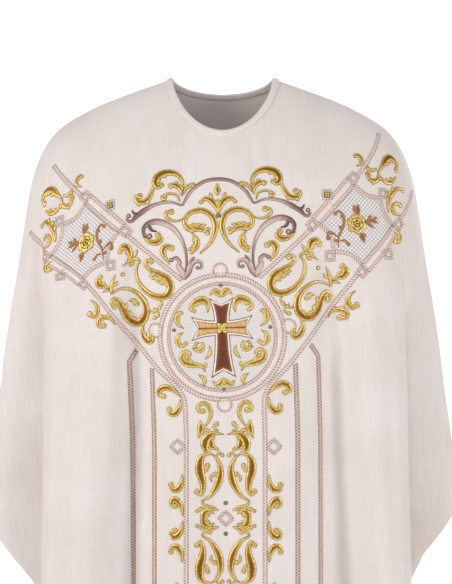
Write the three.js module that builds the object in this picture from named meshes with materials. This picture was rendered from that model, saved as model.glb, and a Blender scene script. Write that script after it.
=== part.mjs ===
// A worn chasuble: an ample cope-like vestment with a front and a back panel sewn along the
// shoulders, a bound neck, and corded and appliqued orphrey work on the front.
// Millimetres, +Z up, the front faces -Y. The origin is the middle of the neck opening, level
// with the points where neck and shoulder meet, because the shoulders hold the garment up.
import * as THREE from "three";

// Driving sizes
const clothWall = 2;
const seamGap = 0.3;
const bindingWidth = 10;
const bindingWall = 1.6;
const braidWidth = 8;
const braidHeight = 1.6;
const medallionDrop = 405; // from the neck points to the medallion's centre
const columnEnd = 740; // how far below the medallion the column's braids run

// Closed rings round the garment, from the neck edge to the hem. Depths are from the shoulder
// line to the middle of the front and back. Drops are how far each stretch hangs below the
// neck points. squareness 2 is an ellipse, and more is flatter in front.
const rings = [
  { name: "neck edge", halfWidth: 80, front: 74, back: 62, frontDrop: 90, sideDrop: 0, backDrop: 20, squareness: 2.0 },
  { name: "neck base", halfWidth: 106, front: 84, back: 74, frontDrop: 108, sideDrop: 9, backDrop: 36, squareness: 2.1 },
  { name: "inner shoulder", halfWidth: 156, front: 99, back: 92, frontDrop: 142, sideDrop: 27, backDrop: 68, squareness: 2.3 },
  { name: "mid shoulder", halfWidth: 210, front: 115, back: 107, frontDrop: 186, sideDrop: 50, backDrop: 112, squareness: 2.5 },
  { name: "shoulder tip", halfWidth: 262, front: 128, back: 117, frontDrop: 236, sideDrop: 84, backDrop: 164, squareness: 2.8 },
  { name: "upper arm", halfWidth: 291, front: 137, back: 123, frontDrop: 300, sideDrop: 132, backDrop: 230, squareness: 3.1 },
  { name: "chest", halfWidth: 307, front: 143, back: 127, frontDrop: 390, sideDrop: 200, backDrop: 322, squareness: 3.3 },
  { name: "waist", halfWidth: 317, front: 148, back: 132, frontDrop: 545, sideDrop: 300, backDrop: 480, squareness: 3.3 },
  { name: "hip", halfWidth: 327, front: 153, back: 138, frontDrop: 745, sideDrop: 405, backDrop: 690, squareness: 3.1 },
  { name: "thigh", halfWidth: 338, front: 158, back: 144, frontDrop: 955, sideDrop: 505, backDrop: 925, squareness: 3.0 },
  { name: "hem", halfWidth: 350, front: 162, back: 150, frontDrop: 1165, sideDrop: 590, backDrop: 1195, squareness: 2.8 },
];
const dropCurve = 1.25; // how roundly neckline and hem rise from the middle to the sides

// Vertical folds. at is the distance round the cloth from the middle of its face, to the
// viewer's right when positive. A fold starts at top, and has the given place, half width and
// depth at mid and at the hem. A negative depth is a valley.
const folds = [
  { face: "front", name: "valley beside the column, left", top: 225, mid: 520, hem: 1150, atTop: -136, atMid: -131, atHem: -150, wideMid: 28, wideHem: 44, deepMid: -23, deepHem: -40 },
  { face: "front", name: "valley beside the column, right", top: 180, mid: 560, hem: 1150, atTop: 158, atMid: 176, atHem: 214, wideMid: 30, wideHem: 46, deepMid: -20, deepHem: -42 },
  { face: "front", name: "left pillar", top: 280, mid: 600, hem: 1100, atTop: -205, atMid: -214, atHem: -232, wideMid: 34, wideHem: 40, deepMid: 10, deepHem: 22 },
  { face: "front", name: "right pillar", top: 300, mid: 600, hem: 1100, atTop: 225, atMid: 236, atHem: 262, wideMid: 36, wideHem: 40, deepMid: 8, deepHem: 22 },
  { face: "front", name: "left side valley", top: 190, mid: 470, hem: 900, atTop: -286, atMid: -318, atHem: -332, wideMid: 22, wideHem: 30, deepMid: -44, deepHem: -66 },
  { face: "front", name: "right side valley", top: 190, mid: 470, hem: 900, atTop: 290, atMid: 326, atHem: 342, wideMid: 24, wideHem: 30, deepMid: -38, deepHem: -64 },
  { face: "front", name: "left side flute", top: 190, mid: 470, hem: 760, atTop: -344, atMid: -374, atHem: -392, wideMid: 22, wideHem: 27, deepMid: 16, deepHem: 28 },
  { face: "front", name: "right side flute", top: 190, mid: 470, hem: 760, atTop: 348, atMid: 380, atHem: 400, wideMid: 22, wideHem: 27, deepMid: 15, deepHem: 27 },
  { face: "front", name: "column valley near the hem", top: 700, mid: 930, hem: 1165, atTop: 18, atMid: 24, atHem: 34, wideMid: 34, wideHem: 44, deepMid: -7, deepHem: -20 },
  { face: "back", name: "back valley, middle", top: 300, mid: 640, hem: 1190, atTop: -10, atMid: -16, atHem: -24, wideMid: 34, wideHem: 48, deepMid: -12, deepHem: -34 },
  { face: "back", name: "back valley, left", top: 210, mid: 560, hem: 1150, atTop: -140, atMid: -152, atHem: -176, wideMid: 30, wideHem: 44, deepMid: -22, deepHem: -44 },
  { face: "back", name: "back valley, right", top: 230, mid: 560, hem: 1150, atTop: 128, atMid: 140, atHem: 168, wideMid: 30, wideHem: 44, deepMid: -22, deepHem: -44 },
  { face: "back", name: "back side valley, left", top: 140, mid: 430, hem: 900, atTop: -270, atMid: -298, atHem: -318, wideMid: 23, wideHem: 32, deepMid: -36, deepHem: -60 },
  { face: "back", name: "back side valley, right", top: 150, mid: 430, hem: 900, atTop: 270, atMid: 292, atHem: 314, wideMid: 23, wideHem: 32, deepMid: -36, deepHem: -60 },
];

const clamp01 = (t) => Math.min(1, Math.max(0, t));
const smooth = (t) => clamp01(t) ** 2 * (3 - 2 * clamp01(t));
const mix = (a, b, t) => a + (b - a) * t;

// A ring between the rows of the table, by a cubic through the four rows around it.
function ringAt(v) {
  const row = Math.min(rings.length - 2, Math.max(0, Math.floor(v)));
  const t = v - row;
  const found = {};
  for (const key of ["halfWidth", "front", "back", "frontDrop", "sideDrop", "backDrop", "squareness"]) {
    const at = (i) => {
      if (i < 0) return 2 * rings[0][key] - rings[1][key];
      if (i >= rings.length) return 2 * rings.at(-1)[key] - rings.at(-2)[key];
      return rings[i][key];
    };
    const [a, b, c, d] = [at(row - 1), at(row), at(row + 1), at(row + 2)];
    found[key] =
      b + 0.5 * t * (c - a + t * (2 * a - 5 * b + 4 * c - d + t * (3 * (b - c) + d - a)));
  }
  return found;
}

// The smooth form of a ring at an angle from the middle of the front, 0, to that of the back, PI.
function ringPoint(ring, angle) {
  const power = 2 / ring.squareness;
  const across = Math.max(0, Math.sin(angle));
  const along = Math.cos(angle);
  const depth = along > 0 ? -ring.front : ring.back;
  const drop = along > 0 ? ring.frontDrop : ring.backDrop;
  return new THREE.Vector3(
    ring.halfWidth * across ** power,
    depth * Math.abs(along) ** power,
    -mix(ring.sideDrop, drop, Math.abs(along) ** dropCurve),
  );
}

// Half a ring as points with their distance from the middle of the front, seen from above.
const ringSteps = 120;
const ringCache = new Map();
function halfRing(v) {
  const key = v.toFixed(5);
  if (ringCache.has(key)) return ringCache.get(key);
  const ring = ringAt(v);
  const points = [];
  const along = [];
  for (let i = 0; i <= ringSteps; i++) {
    // The steps close up at the quarters, where the angle's powers change fastest.
    const part = i / ringSteps;
    const angle = Math.PI * (part - Math.sin(4 * Math.PI * part) / (4 * Math.PI) * 0.9);
    const point = ringPoint(ring, angle);
    const step = i ? Math.hypot(point.x - points[i - 1].x, point.y - points[i - 1].y) : 0;
    points.push(point);
    along.push(i ? along[i - 1] + step : 0);
  }
  const seam = along[ringSteps / 2];
  const made = { points, along, seam, length: along[ringSteps] };
  ringCache.set(key, made);
  return made;
}

// How far all folds move the cloth outwards at a distance round the front and a drop.
function foldDepth(fromFront, fromBack, drop) {
  let sum = 0;
  for (const f of folds) {
    if (drop <= f.top) continue;
    const place = f.face === "front" ? fromFront : fromBack;
    const upper = clamp01((drop - f.top) / (f.mid - f.top));
    const lower = clamp01((drop - f.mid) / (f.hem - f.mid));
    const at = lower ? mix(f.atMid, f.atHem, lower) : mix(f.atTop, f.atMid, upper);
    const wide = lower ? mix(f.wideMid, f.wideHem, lower) : mix(0.45 * f.wideMid, f.wideMid, upper);
    const deep = lower ? mix(f.deepMid, f.deepHem, lower) : f.deepMid * smooth(upper);
    sum += deep * Math.exp(-(((place - at) / wide) ** 2));
  }
  return sum;
}

// The cloth's outer face on ring v, at a distance round it from the middle of the front.
function clothPoint(v, distance) {
  const half = halfRing(v);
  const side = distance < 0 ? -1 : 1;
  const far = Math.min(Math.abs(distance), half.length);
  let i = 1;
  while (i < ringSteps && half.along[i] < far) i++;
  const t = (far - half.along[i - 1]) / (half.along[i] - half.along[i - 1]);
  const point = half.points[i - 1].clone().lerp(half.points[i], t);
  const run = half.points[Math.min(ringSteps, i + 1)].clone().sub(half.points[Math.max(0, i - 2)]);
  const outward = new THREE.Vector2(-run.y, run.x).normalize().negate();
  const depth = foldDepth(side * far, -side * (half.length - far), -point.z);
  point.x += outward.x * depth;
  point.y += outward.y * depth;
  point.x *= side;
  return point;
}

// The cloth's outward direction there, from its neighbours.
function clothNormal(v, distance) {
  const high = rings.length - 1;
  const [v0, v1] = [Math.max(0, v - 0.04), Math.min(high, v + 0.04)];
  const part = distance / halfRing(v).length;
  const down = clothPoint(v1, part * halfRing(v1).length).sub(clothPoint(v0, part * halfRing(v0).length));
  const round = clothPoint(v, distance + 3).sub(clothPoint(v, distance - 3));
  return round.cross(down).normalize().negate();
}

// A closed solid between two grids of points with the same rows and columns.
function solidBetween(outer, inner, closed = false) {
  const rows = outer.length;
  const columns = outer[0].length;
  const positions = [];
  for (const grid of [outer, inner]) for (const row of grid) for (const p of row) positions.push(p.x, p.y, p.z);
  const at = (layer, r, c) => layer * rows * columns + r * columns + (c % columns);
  const faces = [];
  const quad = (a, b, c, d) => faces.push(a, b, c, a, c, d);
  const lastColumn = closed ? columns : columns - 1;
  for (let r = 0; r < rows - 1; r++) {
    for (let c = 0; c < lastColumn; c++) {
      quad(at(0, r, c), at(0, r + 1, c), at(0, r + 1, c + 1), at(0, r, c + 1));
      quad(at(1, r, c), at(1, r, c + 1), at(1, r + 1, c + 1), at(1, r + 1, c));
    }
    if (closed) continue;
    quad(at(0, r, 0), at(1, r, 0), at(1, r + 1, 0), at(0, r + 1, 0));
    quad(at(0, r, columns - 1), at(0, r + 1, columns - 1), at(1, r + 1, columns - 1), at(1, r, columns - 1));
  }
  for (let c = 0; c < lastColumn; c++) {
    quad(at(0, 0, c), at(0, 0, c + 1), at(1, 0, c + 1), at(1, 0, c));
    quad(at(0, rows - 1, c), at(1, rows - 1, c), at(1, rows - 1, c + 1), at(0, rows - 1, c + 1));
  }
  const geometry = new THREE.BufferGeometry();
  geometry.setAttribute("position", new THREE.Float32BufferAttribute(positions, 3));
  geometry.setIndex(faces);
  return geometry;
}

const garment = new THREE.Group();
function add(name, geometry, material) {
  const mesh = new THREE.Mesh(geometry, material);
  mesh.name = name;
  garment.add(mesh);
  return mesh;
}

const ivoryCloth = new THREE.MeshStandardMaterial({ color: 0xe9dfd8, roughness: 0.85, metalness: 0, side: THREE.DoubleSide });
const roseBraid = new THREE.MeshStandardMaterial({ color: 0xc9ada3, roughness: 0.7, metalness: 0 });
const taupeSatin = new THREE.MeshStandardMaterial({ color: 0xa08480, roughness: 0.45, metalness: 0 });
const copperSatin = new THREE.MeshStandardMaterial({ color: 0x8a4a1e, roughness: 0.45, metalness: 0.2 });
const goldThread = new THREE.MeshStandardMaterial({ color: 0xd0a83c, roughness: 0.35, metalness: 0.6 });

// Front and back: half of every ring, from shoulder seam to shoulder seam.
function panel(face, rows, columns) {
  const outer = [];
  const inner = [];
  for (let r = 0; r <= rows; r++) {
    const v = ((rings.length - 1) * r) / rows;
    const half = halfRing(v);
    const width = (face === "front" ? half.seam : half.length - half.seam) - seamGap / 2;
    const outerRow = [];
    const innerRow = [];
    for (let c = 0; c <= columns; c++) {
      const across = mix(-width, width, c / columns);
      const distance = face === "front" ? across : (half.length - Math.abs(across)) * (across < 0 ? 1 : -1);
      const point = clothPoint(v, distance);
      outerRow.push(point);
      innerRow.push(point.clone().addScaledVector(clothNormal(v, distance), -clothWall));
    }
    outer.push(outerRow);
    inner.push(innerRow);
  }
  return solidBetween(outer, inner);
}
const frontPanel = add("front_panel", panel("front", 32, 60), ivoryCloth);
const backPanel = add("back_panel", panel("back", 20, 40), ivoryCloth);

// The outer face of the panels' own facets at a place on the cloth, with its direction there.
const ray = new THREE.Raycaster();
ray.far = 24;
function onFacets(v, distance) {
  const normal = clothNormal(v, distance);
  const start = clothPoint(v, distance).addScaledVector(normal, 12);
  ray.set(start, normal.clone().negate());
  const [hit] = ray.intersectObjects([frontPanel, backPanel]);
  const point = hit ? hit.point : start.addScaledVector(normal, -12);
  return { point, normal };
}

// The binding lies round the neck edge, on the outside of both panels, and stands above it.
function neckBinding(columns) {
  const outer = [];
  const inner = [];
  for (const [v, rise] of [[0.01, 1.5], [0.2, 0], [bindingWidth / 26, 0]]) {
    const half = halfRing(v);
    const outerRow = [];
    const innerRow = [];
    for (let c = 0; c < columns; c++) {
      const distance = mix(-half.length, half.length, (c + 0.5) / columns);
      const { point, normal } = onFacets(v, distance);
      const part = distance / half.length;
      const lower = clothPoint(v + 0.1, part * halfRing(v + 0.1).length);
      const upward = clothPoint(v, distance).sub(lower).normalize();
      const seat = point.addScaledVector(upward, rise).addScaledVector(normal, 0.9);
      innerRow.push(seat);
      outerRow.push(seat.clone().addScaledVector(normal, bindingWall));
    }
    outer.push(outerRow);
    inner.push(innerRow);
  }
  return solidBetween(outer, inner, true);
}
add("neck_binding", neckBinding(72), ivoryCloth);

// The orphrey is drawn flat, in millimetres from the medallion's centre, and its left half is
// the right one mirrored. The garment sits a little askew on the shoulders: the drawing leans
// by lean, its column hangs plumb again below, and at the left arm the cloth sags and draws in.
const lean = 0.0332;
const plumbBelow = -150;
const sag = { from: 150, drop: 0.22, draw: 0.12, lowest: 40, full: 150 };
function hang(x, z) {
  const leaning = smooth((z - plumbBelow - 20) / 80 + 0.5);
  const sx = x - lean * Math.max(z, plumbBelow);
  const sz = z + lean * leaning * x;
  const beyond = Math.max(0, -sx - sag.from);
  const full = smooth((sz - sag.lowest) / (sag.full - sag.lowest));
  const drawn = sag.draw * beyond * smooth((sz + 60) / 100);
  return [sx + drawn, sz - sag.drop * beyond * full];
}

// The ring whose cloth, at that distance round the front, hangs at that drop.
function ringAtDrop(distance, drop) {
  let [low, high] = [0, rings.length - 1];
  for (let i = 0; i < 22; i++) {
    const middle = (low + high) / 2;
    if (-clothPoint(middle, distance).z < drop) low = middle;
    else high = middle;
  }
  return (low + high) / 2;
}

// A point of the drawing on the front panel's own facets, with the cloth's direction there.
function onFront(x, z) {
  const [distance, height] = hang(x, z);
  return onFacets(ringAtDrop(distance, medallionDrop - height), distance);
}

// Where the cloth's facets bulge between a strip's points, its points are lifted clear of them.
const layGap = 0.7;
const leastGap = 0.6;
function liftOverRidges(rows, closed) {
  const pairs = rows.slice(closed ? 0 : 1).map((row, r) => [closed ? rows.at(r - 1) : rows[r], row]);
  for (const [one, next] of pairs) {
    for (const share of [0.25, 0.5, 0.75]) {
      for (const across of [0, 0.5, 1, 1.5, 2]) {
        const [low, high] = [Math.floor(across), Math.ceil(across)];
        const corners = [one[low], one[high], next[low], next[high]];
        const at = ({ point, normal, lift }) => point.clone().addScaledVector(normal, lift);
        const left = at(corners[0]).lerp(at(corners[2]), share);
        const middle = left.lerp(at(corners[1]).lerp(at(corners[3]), share), 0.5);
        const normal = corners[0].normal.clone().add(corners[3].normal).normalize();
        ray.set(middle.addScaledVector(normal, 12), normal.clone().negate());
        const [hit] = ray.intersectObjects([frontPanel, backPanel]);
        if (!hit || hit.distance - 12 > leastGap) continue;
        for (const corner of new Set(corners)) corner.lift += leastGap - (hit.distance - 12);
      }
    }
  }
}

// A raised strip along a drawn line: flat below, and crowned above.
function layStrip(line, width, height, closed = false) {
  const rows = [];
  const count = line.length;
  for (let i = 0; i < count; i++) {
    const before = line[closed ? (i + count - 1) % count : Math.max(0, i - 1)];
    const after = line[closed ? (i + 1) % count : Math.min(count - 1, i + 1)];
    const run = after.clone().sub(before).normalize();
    const side = new THREE.Vector2(-run.y, run.x);
    const wide = typeof width === "function" ? width(i / (count - 1)) : width;
    rows.push([-1, 0, 1].map((across) => {
      const spot = line[i].clone().addScaledVector(side, (across * wide) / 2);
      return { ...onFront(spot.x, spot.y), lift: layGap };
    }));
  }
  liftOverRidges(rows, closed);
  const raised = (extra) => rows.map((row) => row.map(({ point, normal, lift }, c) =>
    point.clone().addScaledVector(normal, lift + extra * (c === 1 ? 1 : 0.5))));
  const outer = raised(height);
  const inner = raised(0);
  if (!closed) return solidBetween(outer, inner);
  const turned = (grid) => [2, 1, 0].map((c) => grid.map((row) => row[c]));
  return solidBetween(turned(outer), turned(inner), true);
}

// Drawn lines
const point2 = (x, z) => new THREE.Vector2(x, z);
function through(points, step) {
  const curve = new THREE.CatmullRomCurve3(points.map(([x, z]) => new THREE.Vector3(x, z, 0)), false, "centripetal");
  const count = Math.max(3, Math.round(curve.getLength() / step));
  return curve.getSpacedPoints(count).map((p) => point2(p.x, p.y));
}
// Straight runs between corners, with points about step apart.
function along(corners, step) {
  const line = [point2(...corners[0])];
  for (let i = 1; i < corners.length; i++) {
    const [a, b] = [point2(...corners[i - 1]), point2(...corners[i])];
    const count = Math.max(1, Math.round(a.distanceTo(b) / step));
    for (let k = 1; k <= count; k++) line.push(a.clone().lerp(b, k / count));
  }
  return line;
}
const circle = (radius, count) =>
  Array.from({ length: count }, (_, i) => {
    const turn = (i / count) * 2 * Math.PI;
    return point2(radius * Math.cos(turn), radius * Math.sin(turn));
  });
const mirrored = (line, side) => line.map((p) => point2(p.x * side, p.y));

const sides = [["right", 1], ["left", -1]];
const lozenge = { x: 214, z: 163, half: 49 }; // the panel on each arm, turned by 45 degrees
const column = { inner: 59, middle: 108, outer: 144 };
const ringOuter = 98;
const ringInner = 81;

add("medallion_ring", layStrip(circle((ringOuter + ringInner) / 2, 56), ringOuter - ringInner, braidHeight, true), roseBraid);

const diagonal = Math.SQRT1_2;
// A point of the lozenge's own axes: p runs up along the arm, q runs across it, down and out.
const inLozenge = (p, q) => [lozenge.x + (p + q) * diagonal, lozenge.z + (p - q) * diagonal];
for (const [name, side] of sides) {
  const strip = (line, width = braidWidth, height = braidHeight) => layStrip(mirrored(line, side), width, height);
  const upper = along([[61, 90], inLozenge(-lozenge.half, -lozenge.half), inLozenge(lozenge.half, -lozenge.half), [252, 262], [266, 266]], 11);
  add("arm_upper_braid_" + name, strip(upper), roseBraid);
  const lower = [
    ...along([[278, 176], inLozenge(lozenge.half, lozenge.half), inLozenge(-lozenge.half, lozenge.half), [126, -12], [76, -71]], 11),
    ...along([[66, -86], [60, -104], [column.inner, -120], [column.inner, -columnEnd]], 34),
  ];
  add("arm_lower_braid_" + name, strip(lower), roseBraid);
  add("column_middle_braid_" + name, strip(along([[column.middle, -51], [column.middle, -columnEnd]], 36)), roseBraid);
  add("column_outer_braid_" + name, strip(along([[133, -24], [column.outer, -38], [column.outer, -columnEnd + 20]], 36)), roseBraid);
  // The net's frame inside each lozenge, drawn in at its four sides.
  const frame = [[38, 30], [34, 14], [44, 0], [34, -14], [38, -30], [24, -38], [0, -33], [-24, -38]];
  const frameLine = [...frame, ...frame.map(([p, q]) => [-p, -q])].filter((_, i) => i !== 5 && i !== 13);
  add("lozenge_frame_" + name, layStrip(mirrored(frameLine.map(([p, q]) => point2(...inLozenge(p, q))), side), 5, 1.2, true), roseBraid);
  const scroll = through([[104, 158], [112, 160], [110, 172], [92, 178], [72, 168], [57, 145], [51, 118], [50, 108]], 9);
  add("shell_scroll_" + name, strip(scroll, (t) => mix(9, 4, t), 1.4), taupeSatin);
}
const arch = [
  ...through([[-134, 180], [-118, 190], [-98, 201], [-78, 205], [-56, 199]], 11),
  ...through([[-54, 202], [-42, 219], [-22, 234], [0, 239], [22, 234], [42, 219], [54, 202]], 10),
  ...through([[56, 199], [78, 205], [98, 201], [118, 190], [134, 180]], 11),
];
add("arch_stem", layStrip(arch, 5, 1.4), taupeSatin);

// The cross: four flared arms round a square, its lower arm longest.
const cross = { top: 44, bottom: 70, side: 44, waist: 7, flare: 15.5, middle: 12, square: 11 };
function crossArm(name, length, turn, dropped) {
  const line = [0, 0.35, 0.7, 1].map((t) => {
    const far = mix(cross.square, length, t);
    return point2(far * Math.sin(turn), cross.middle + far * Math.cos(turn));
  });
  const width = (t) => 2 * mix(cross.waist, cross.flare, t ** 2);
  add(name, layStrip(line, width, 1.8), dropped);
}
crossArm("cross_arm_top", cross.top, 0, copperSatin);
crossArm("cross_arm_bottom", cross.bottom, Math.PI, copperSatin);
crossArm("cross_arm_right", cross.side, Math.PI / 2, goldThread);
crossArm("cross_arm_left", cross.side, -Math.PI / 2, goldThread);

export default garment;
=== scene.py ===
import math

import bpy
import numpy as np
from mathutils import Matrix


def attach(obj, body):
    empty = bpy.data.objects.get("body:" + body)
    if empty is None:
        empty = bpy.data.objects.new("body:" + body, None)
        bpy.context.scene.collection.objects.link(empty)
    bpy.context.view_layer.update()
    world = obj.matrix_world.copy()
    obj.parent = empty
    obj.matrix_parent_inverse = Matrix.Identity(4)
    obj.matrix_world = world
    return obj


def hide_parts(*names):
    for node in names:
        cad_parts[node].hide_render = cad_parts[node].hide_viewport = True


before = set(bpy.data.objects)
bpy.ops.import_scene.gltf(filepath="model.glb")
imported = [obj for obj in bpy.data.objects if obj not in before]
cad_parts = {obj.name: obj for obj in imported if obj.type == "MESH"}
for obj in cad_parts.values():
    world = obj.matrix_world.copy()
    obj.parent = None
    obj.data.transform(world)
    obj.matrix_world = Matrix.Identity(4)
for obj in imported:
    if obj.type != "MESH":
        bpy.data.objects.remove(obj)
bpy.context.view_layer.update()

print("frame loaded")

# A worn chasuble. Working sizes are millimetres in the CAD frame: +Z up, the front faces -Y,
# and the origin is the middle of the neck opening.


# Small helpers

# sRGB hex to linear, opaque
def hexColour(code):
    parts = [int(code[i:i + 2], 16) / 255 for i in (1, 3, 5)]
    return tuple(c / 12.92 if c <= 0.04045 else ((c + 0.055) / 1.055) ** 2.4 for c in parts) + (1.0,)


# adds a node with its settings, by property, input name or input number, its links and a ramp's stops
def addNode(tree, kind, settings=None, links=None, output=0, stops=()):
    node = tree.nodes.new(kind)
    for key, value in (settings or {}).items():
        if hasattr(node, str(key)):
            setattr(node, key, value)
        else:
            node.inputs[key].default_value = value
    for key, socket in (links or {}).items():
        tree.links.new(socket, node.inputs[key])
    for _ in stops[2:]:
        node.color_ramp.elements.new(0.5)
    for i, (position, code) in enumerate(stops):
        node.color_ramp.elements[i].position = position
        node.color_ramp.elements[i].color = hexColour(code)
    return node.outputs[output]


def newMaterial(name, surface):
    material = bpy.data.materials.new(name)
    material.use_nodes = True
    shader = material.node_tree.nodes["Principled BSDF"]
    for key, value in surface.items():
        shader.inputs[key].default_value = value
    return material, material.node_tree, shader


# the last links of a material: its colour, and its relief as a bump so many mm deep
def dressSurface(tree, shader, colour, height, strength, depth):
    relief = {"Strength": strength, "Distance": depth / 1000}
    bump = addNode(tree, "ShaderNodeBump", relief, {"Height": height})
    tree.links.new(colour, shader.inputs["Base Color"])
    tree.links.new(bump, shader.inputs["Normal"])


def linkObject(name, data):
    added = bpy.data.objects.new(name, data)
    bpy.context.scene.collection.objects.link(added)
    return added


# an eased step from 0 to 1
def smooth(t):
    t = np.clip(t, 0, 1)
    return t * t * (3 - 2 * t)


def unitLength(vectors):
    return vectors / (np.linalg.norm(vectors, axis=-1, keepdims=True) + 1e-12)


# how far along a line each of its points is
def runOf(line):
    return np.concatenate([[0], np.cumsum(np.linalg.norm(np.diff(line, axis=0), axis=1))])


# The worn form of the cloth, as in the part's source

ringTable = np.array([
    # half width, front, back, front drop, side drop, back drop, squareness
    (80, 74, 62, 90, 0, 20, 2.0),  # neck edge
    (106, 84, 74, 108, 9, 36, 2.1),
    (156, 99, 92, 142, 27, 68, 2.3),
    (210, 115, 107, 186, 50, 112, 2.5),
    (262, 128, 117, 236, 84, 164, 2.8),  # shoulder tip
    (291, 137, 123, 300, 132, 230, 3.1),
    (307, 143, 127, 390, 200, 322, 3.3),  # chest
    (317, 148, 132, 545, 300, 480, 3.3),
    (327, 153, 138, 745, 405, 690, 3.1),
    (338, 158, 144, 955, 505, 925, 3.0),
    (350, 162, 150, 1165, 590, 1195, 2.8),  # hem
], float)
dropCurve = 1.25  # how roundly a ring falls from the sides to the middles
lastRing = len(ringTable) - 1

foldTable = [
    # face, top, mid, hem drop, place at top, mid, hem, width mid, hem, depth mid, hem
    ("front", 225, 520, 1150, -136, -131, -150, 28, 44, -23, -40),
    ("front", 180, 560, 1150, 158, 176, 214, 30, 46, -20, -42),
    ("front", 280, 600, 1100, -205, -214, -232, 34, 40, 10, 22),
    ("front", 300, 600, 1100, 225, 236, 262, 36, 40, 8, 22),
    ("front", 190, 470, 900, -286, -318, -332, 22, 30, -44, -66),
    ("front", 190, 470, 900, 290, 326, 342, 24, 30, -38, -64),
    ("front", 190, 470, 760, -344, -374, -392, 22, 27, 16, 28),
    ("front", 190, 470, 760, 348, 380, 400, 22, 27, 15, 27),
    ("front", 700, 930, 1165, 18, 24, 34, 34, 44, -7, -20),
    ("back", 300, 640, 1190, -10, -16, -24, 34, 48, -12, -34),
    ("back", 210, 560, 1150, -140, -152, -176, 30, 44, -22, -44),
    ("back", 230, 560, 1150, 128, 140, 168, 30, 44, -22, -44),
    ("back", 140, 430, 900, -270, -298, -318, 23, 32, -36, -60),
    ("back", 150, 430, 900, 270, 292, 314, 23, 32, -36, -60),
]

# Finer creases, each fading out at both ends; similar ones are put on the hidden side.
creaseTable = [
    # face, from drop, to drop, place from, place to, width, depth
    ("front", 92, 200, 44, 52, 7, -2.2),
    ("front", 96, 178, 58, 72, 6, 1.8),
    ("front", 96, 190, -52, -66, 8, -1.8),
    ("front", 100, 230, -6, -5, 1.6, 0.9),  # pressed crease down the middle of the yoke
    ("front", 385, 1160, -192, -206, 2.2, 0.8),  # pressed crease on the left pillar
    ("front", 290, 1170, -129, -145, 27, -15),  # deeper main troughs beside the column
    ("front", 290, 1170, 169, 200, 27, -17),
    ("front", 300, 900, -280, -292, 14, -12),
    ("front", 350, 450, 214, 182, 10, -3.6),
    ("front", 330, 480, 236, 205, 14, 2.8),
    ("front", 215, 330, -128, -138, 10, -4.5),
    ("front", 200, 420, -226, -250, 16, -5.5),
    ("front", 210, 390, -268, -282, 10, 4.0),
    ("front", 170, 360, 262, 286, 12, -4.5),
    ("front", 300, 640, 196, 206, 12, 3.2),
    ("front", 330, 700, -168, -160, 14, 3.4),
    ("front", 460, 900, 126, 140, 14, -3.0),
    ("front", 520, 980, -96, -102, 16, -3.0),
    ("front", 600, 1150, 70, 78, 18, 4.0),
    ("front", 640, 1150, -60, -66, 18, 3.6),
    ("front", 420, 860, 268, 280, 12, 4.2),
    ("front", 430, 880, -258, -270, 12, 4.4),
    ("back", 60, 260, 40, 62, 12, -2.5),
    ("back", 70, 280, -44, -70, 12, -2.5),
    ("back", 200, 620, 196, 214, 16, 6.5),
    ("back", 220, 640, -200, -222, 16, 7.0),
    ("back", 320, 900, 66, 80, 18, -9.0),
    ("back", 340, 960, -74, -84, 18, -8.0),
    ("back", 560, 1180, 20, 30, 20, 8.0),
    ("back", 420, 1000, 236, 250, 14, 6.5),
    ("back", 430, 1000, -240, -256, 14, 6.0),
]


# a cubic through the four table rows round v
def ringAt(v):
    rows = np.vstack([2 * ringTable[0] - ringTable[1], ringTable, 2 * ringTable[-1] - ringTable[-2]])
    row = np.clip(np.floor(v), 0, lastRing - 1).astype(int)
    t = (v - row)[..., None]
    a, b, c, d = (rows[row + i] for i in range(4))
    return b + 0.5 * t * (c - a + t * (2 * a - 5 * b + 4 * c - d + t * (3 * (b - c) + d - a)))


# superellipse rings, resampled evenly along their length as seen from above
def buildBase(rings=401, steps=241, shares=201):
    vs = np.linspace(0, lastRing, rings)
    ring = ringAt(vs)
    part = np.linspace(0, 1, steps)
    angle = np.pi * (part - 0.9 * np.sin(4 * np.pi * part) / (4 * np.pi))  # closer steps at the sharper turns
    across, along = np.maximum(0, np.sin(angle)), np.cos(angle)
    power = 2 / ring[:, 6:7]
    x = ring[:, 0:1] * across ** power
    y = np.where(along > 0, -ring[:, 1:2], ring[:, 2:3]) * np.abs(along) ** power
    drop = np.where(along > 0, ring[:, 3:4], ring[:, 5:6]) - ring[:, 4:5]
    z = -(ring[:, 4:5] + drop * np.abs(along) ** dropCurve)
    run = np.concatenate([np.zeros((rings, 1)), np.cumsum(np.hypot(np.diff(x), np.diff(y)), axis=1)], axis=1)
    share = np.linspace(0, 1, shares)
    even = np.stack([
        np.stack([np.interp(share * run[i, -1], run[i], values[i]) for i in range(rings)])
        for values in (x, y, z)
    ], -1)
    tangent = np.gradient(even[..., :2], axis=1)
    tangent /= np.linalg.norm(tangent, axis=-1, keepdims=True) + 1e-12
    outward = np.stack([tangent[..., 1], -tangent[..., 0]], -1)
    return vs, np.concatenate([even, outward], -1), run[:, -1], run[:, steps // 2]


ringPlaces, baseGrid, ringLengths, seamLengths = buildBase()


# bilinear lookup at fractional row a and column b
def sampleGrid(grid, a, b):
    a = np.clip(a, 0, grid.shape[0] - 1.0001)
    b = np.clip(b, 0, grid.shape[1] - 1.0001)
    i, j = a.astype(int), b.astype(int)
    s, t = (a - i)[..., None], (b - j)[..., None]
    upper = grid[i, j] * (1 - t) + grid[i, j + 1] * t
    lower = grid[i + 1, j] * (1 - t) + grid[i + 1, j + 1] * t
    return upper * (1 - s) + lower * s


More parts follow.
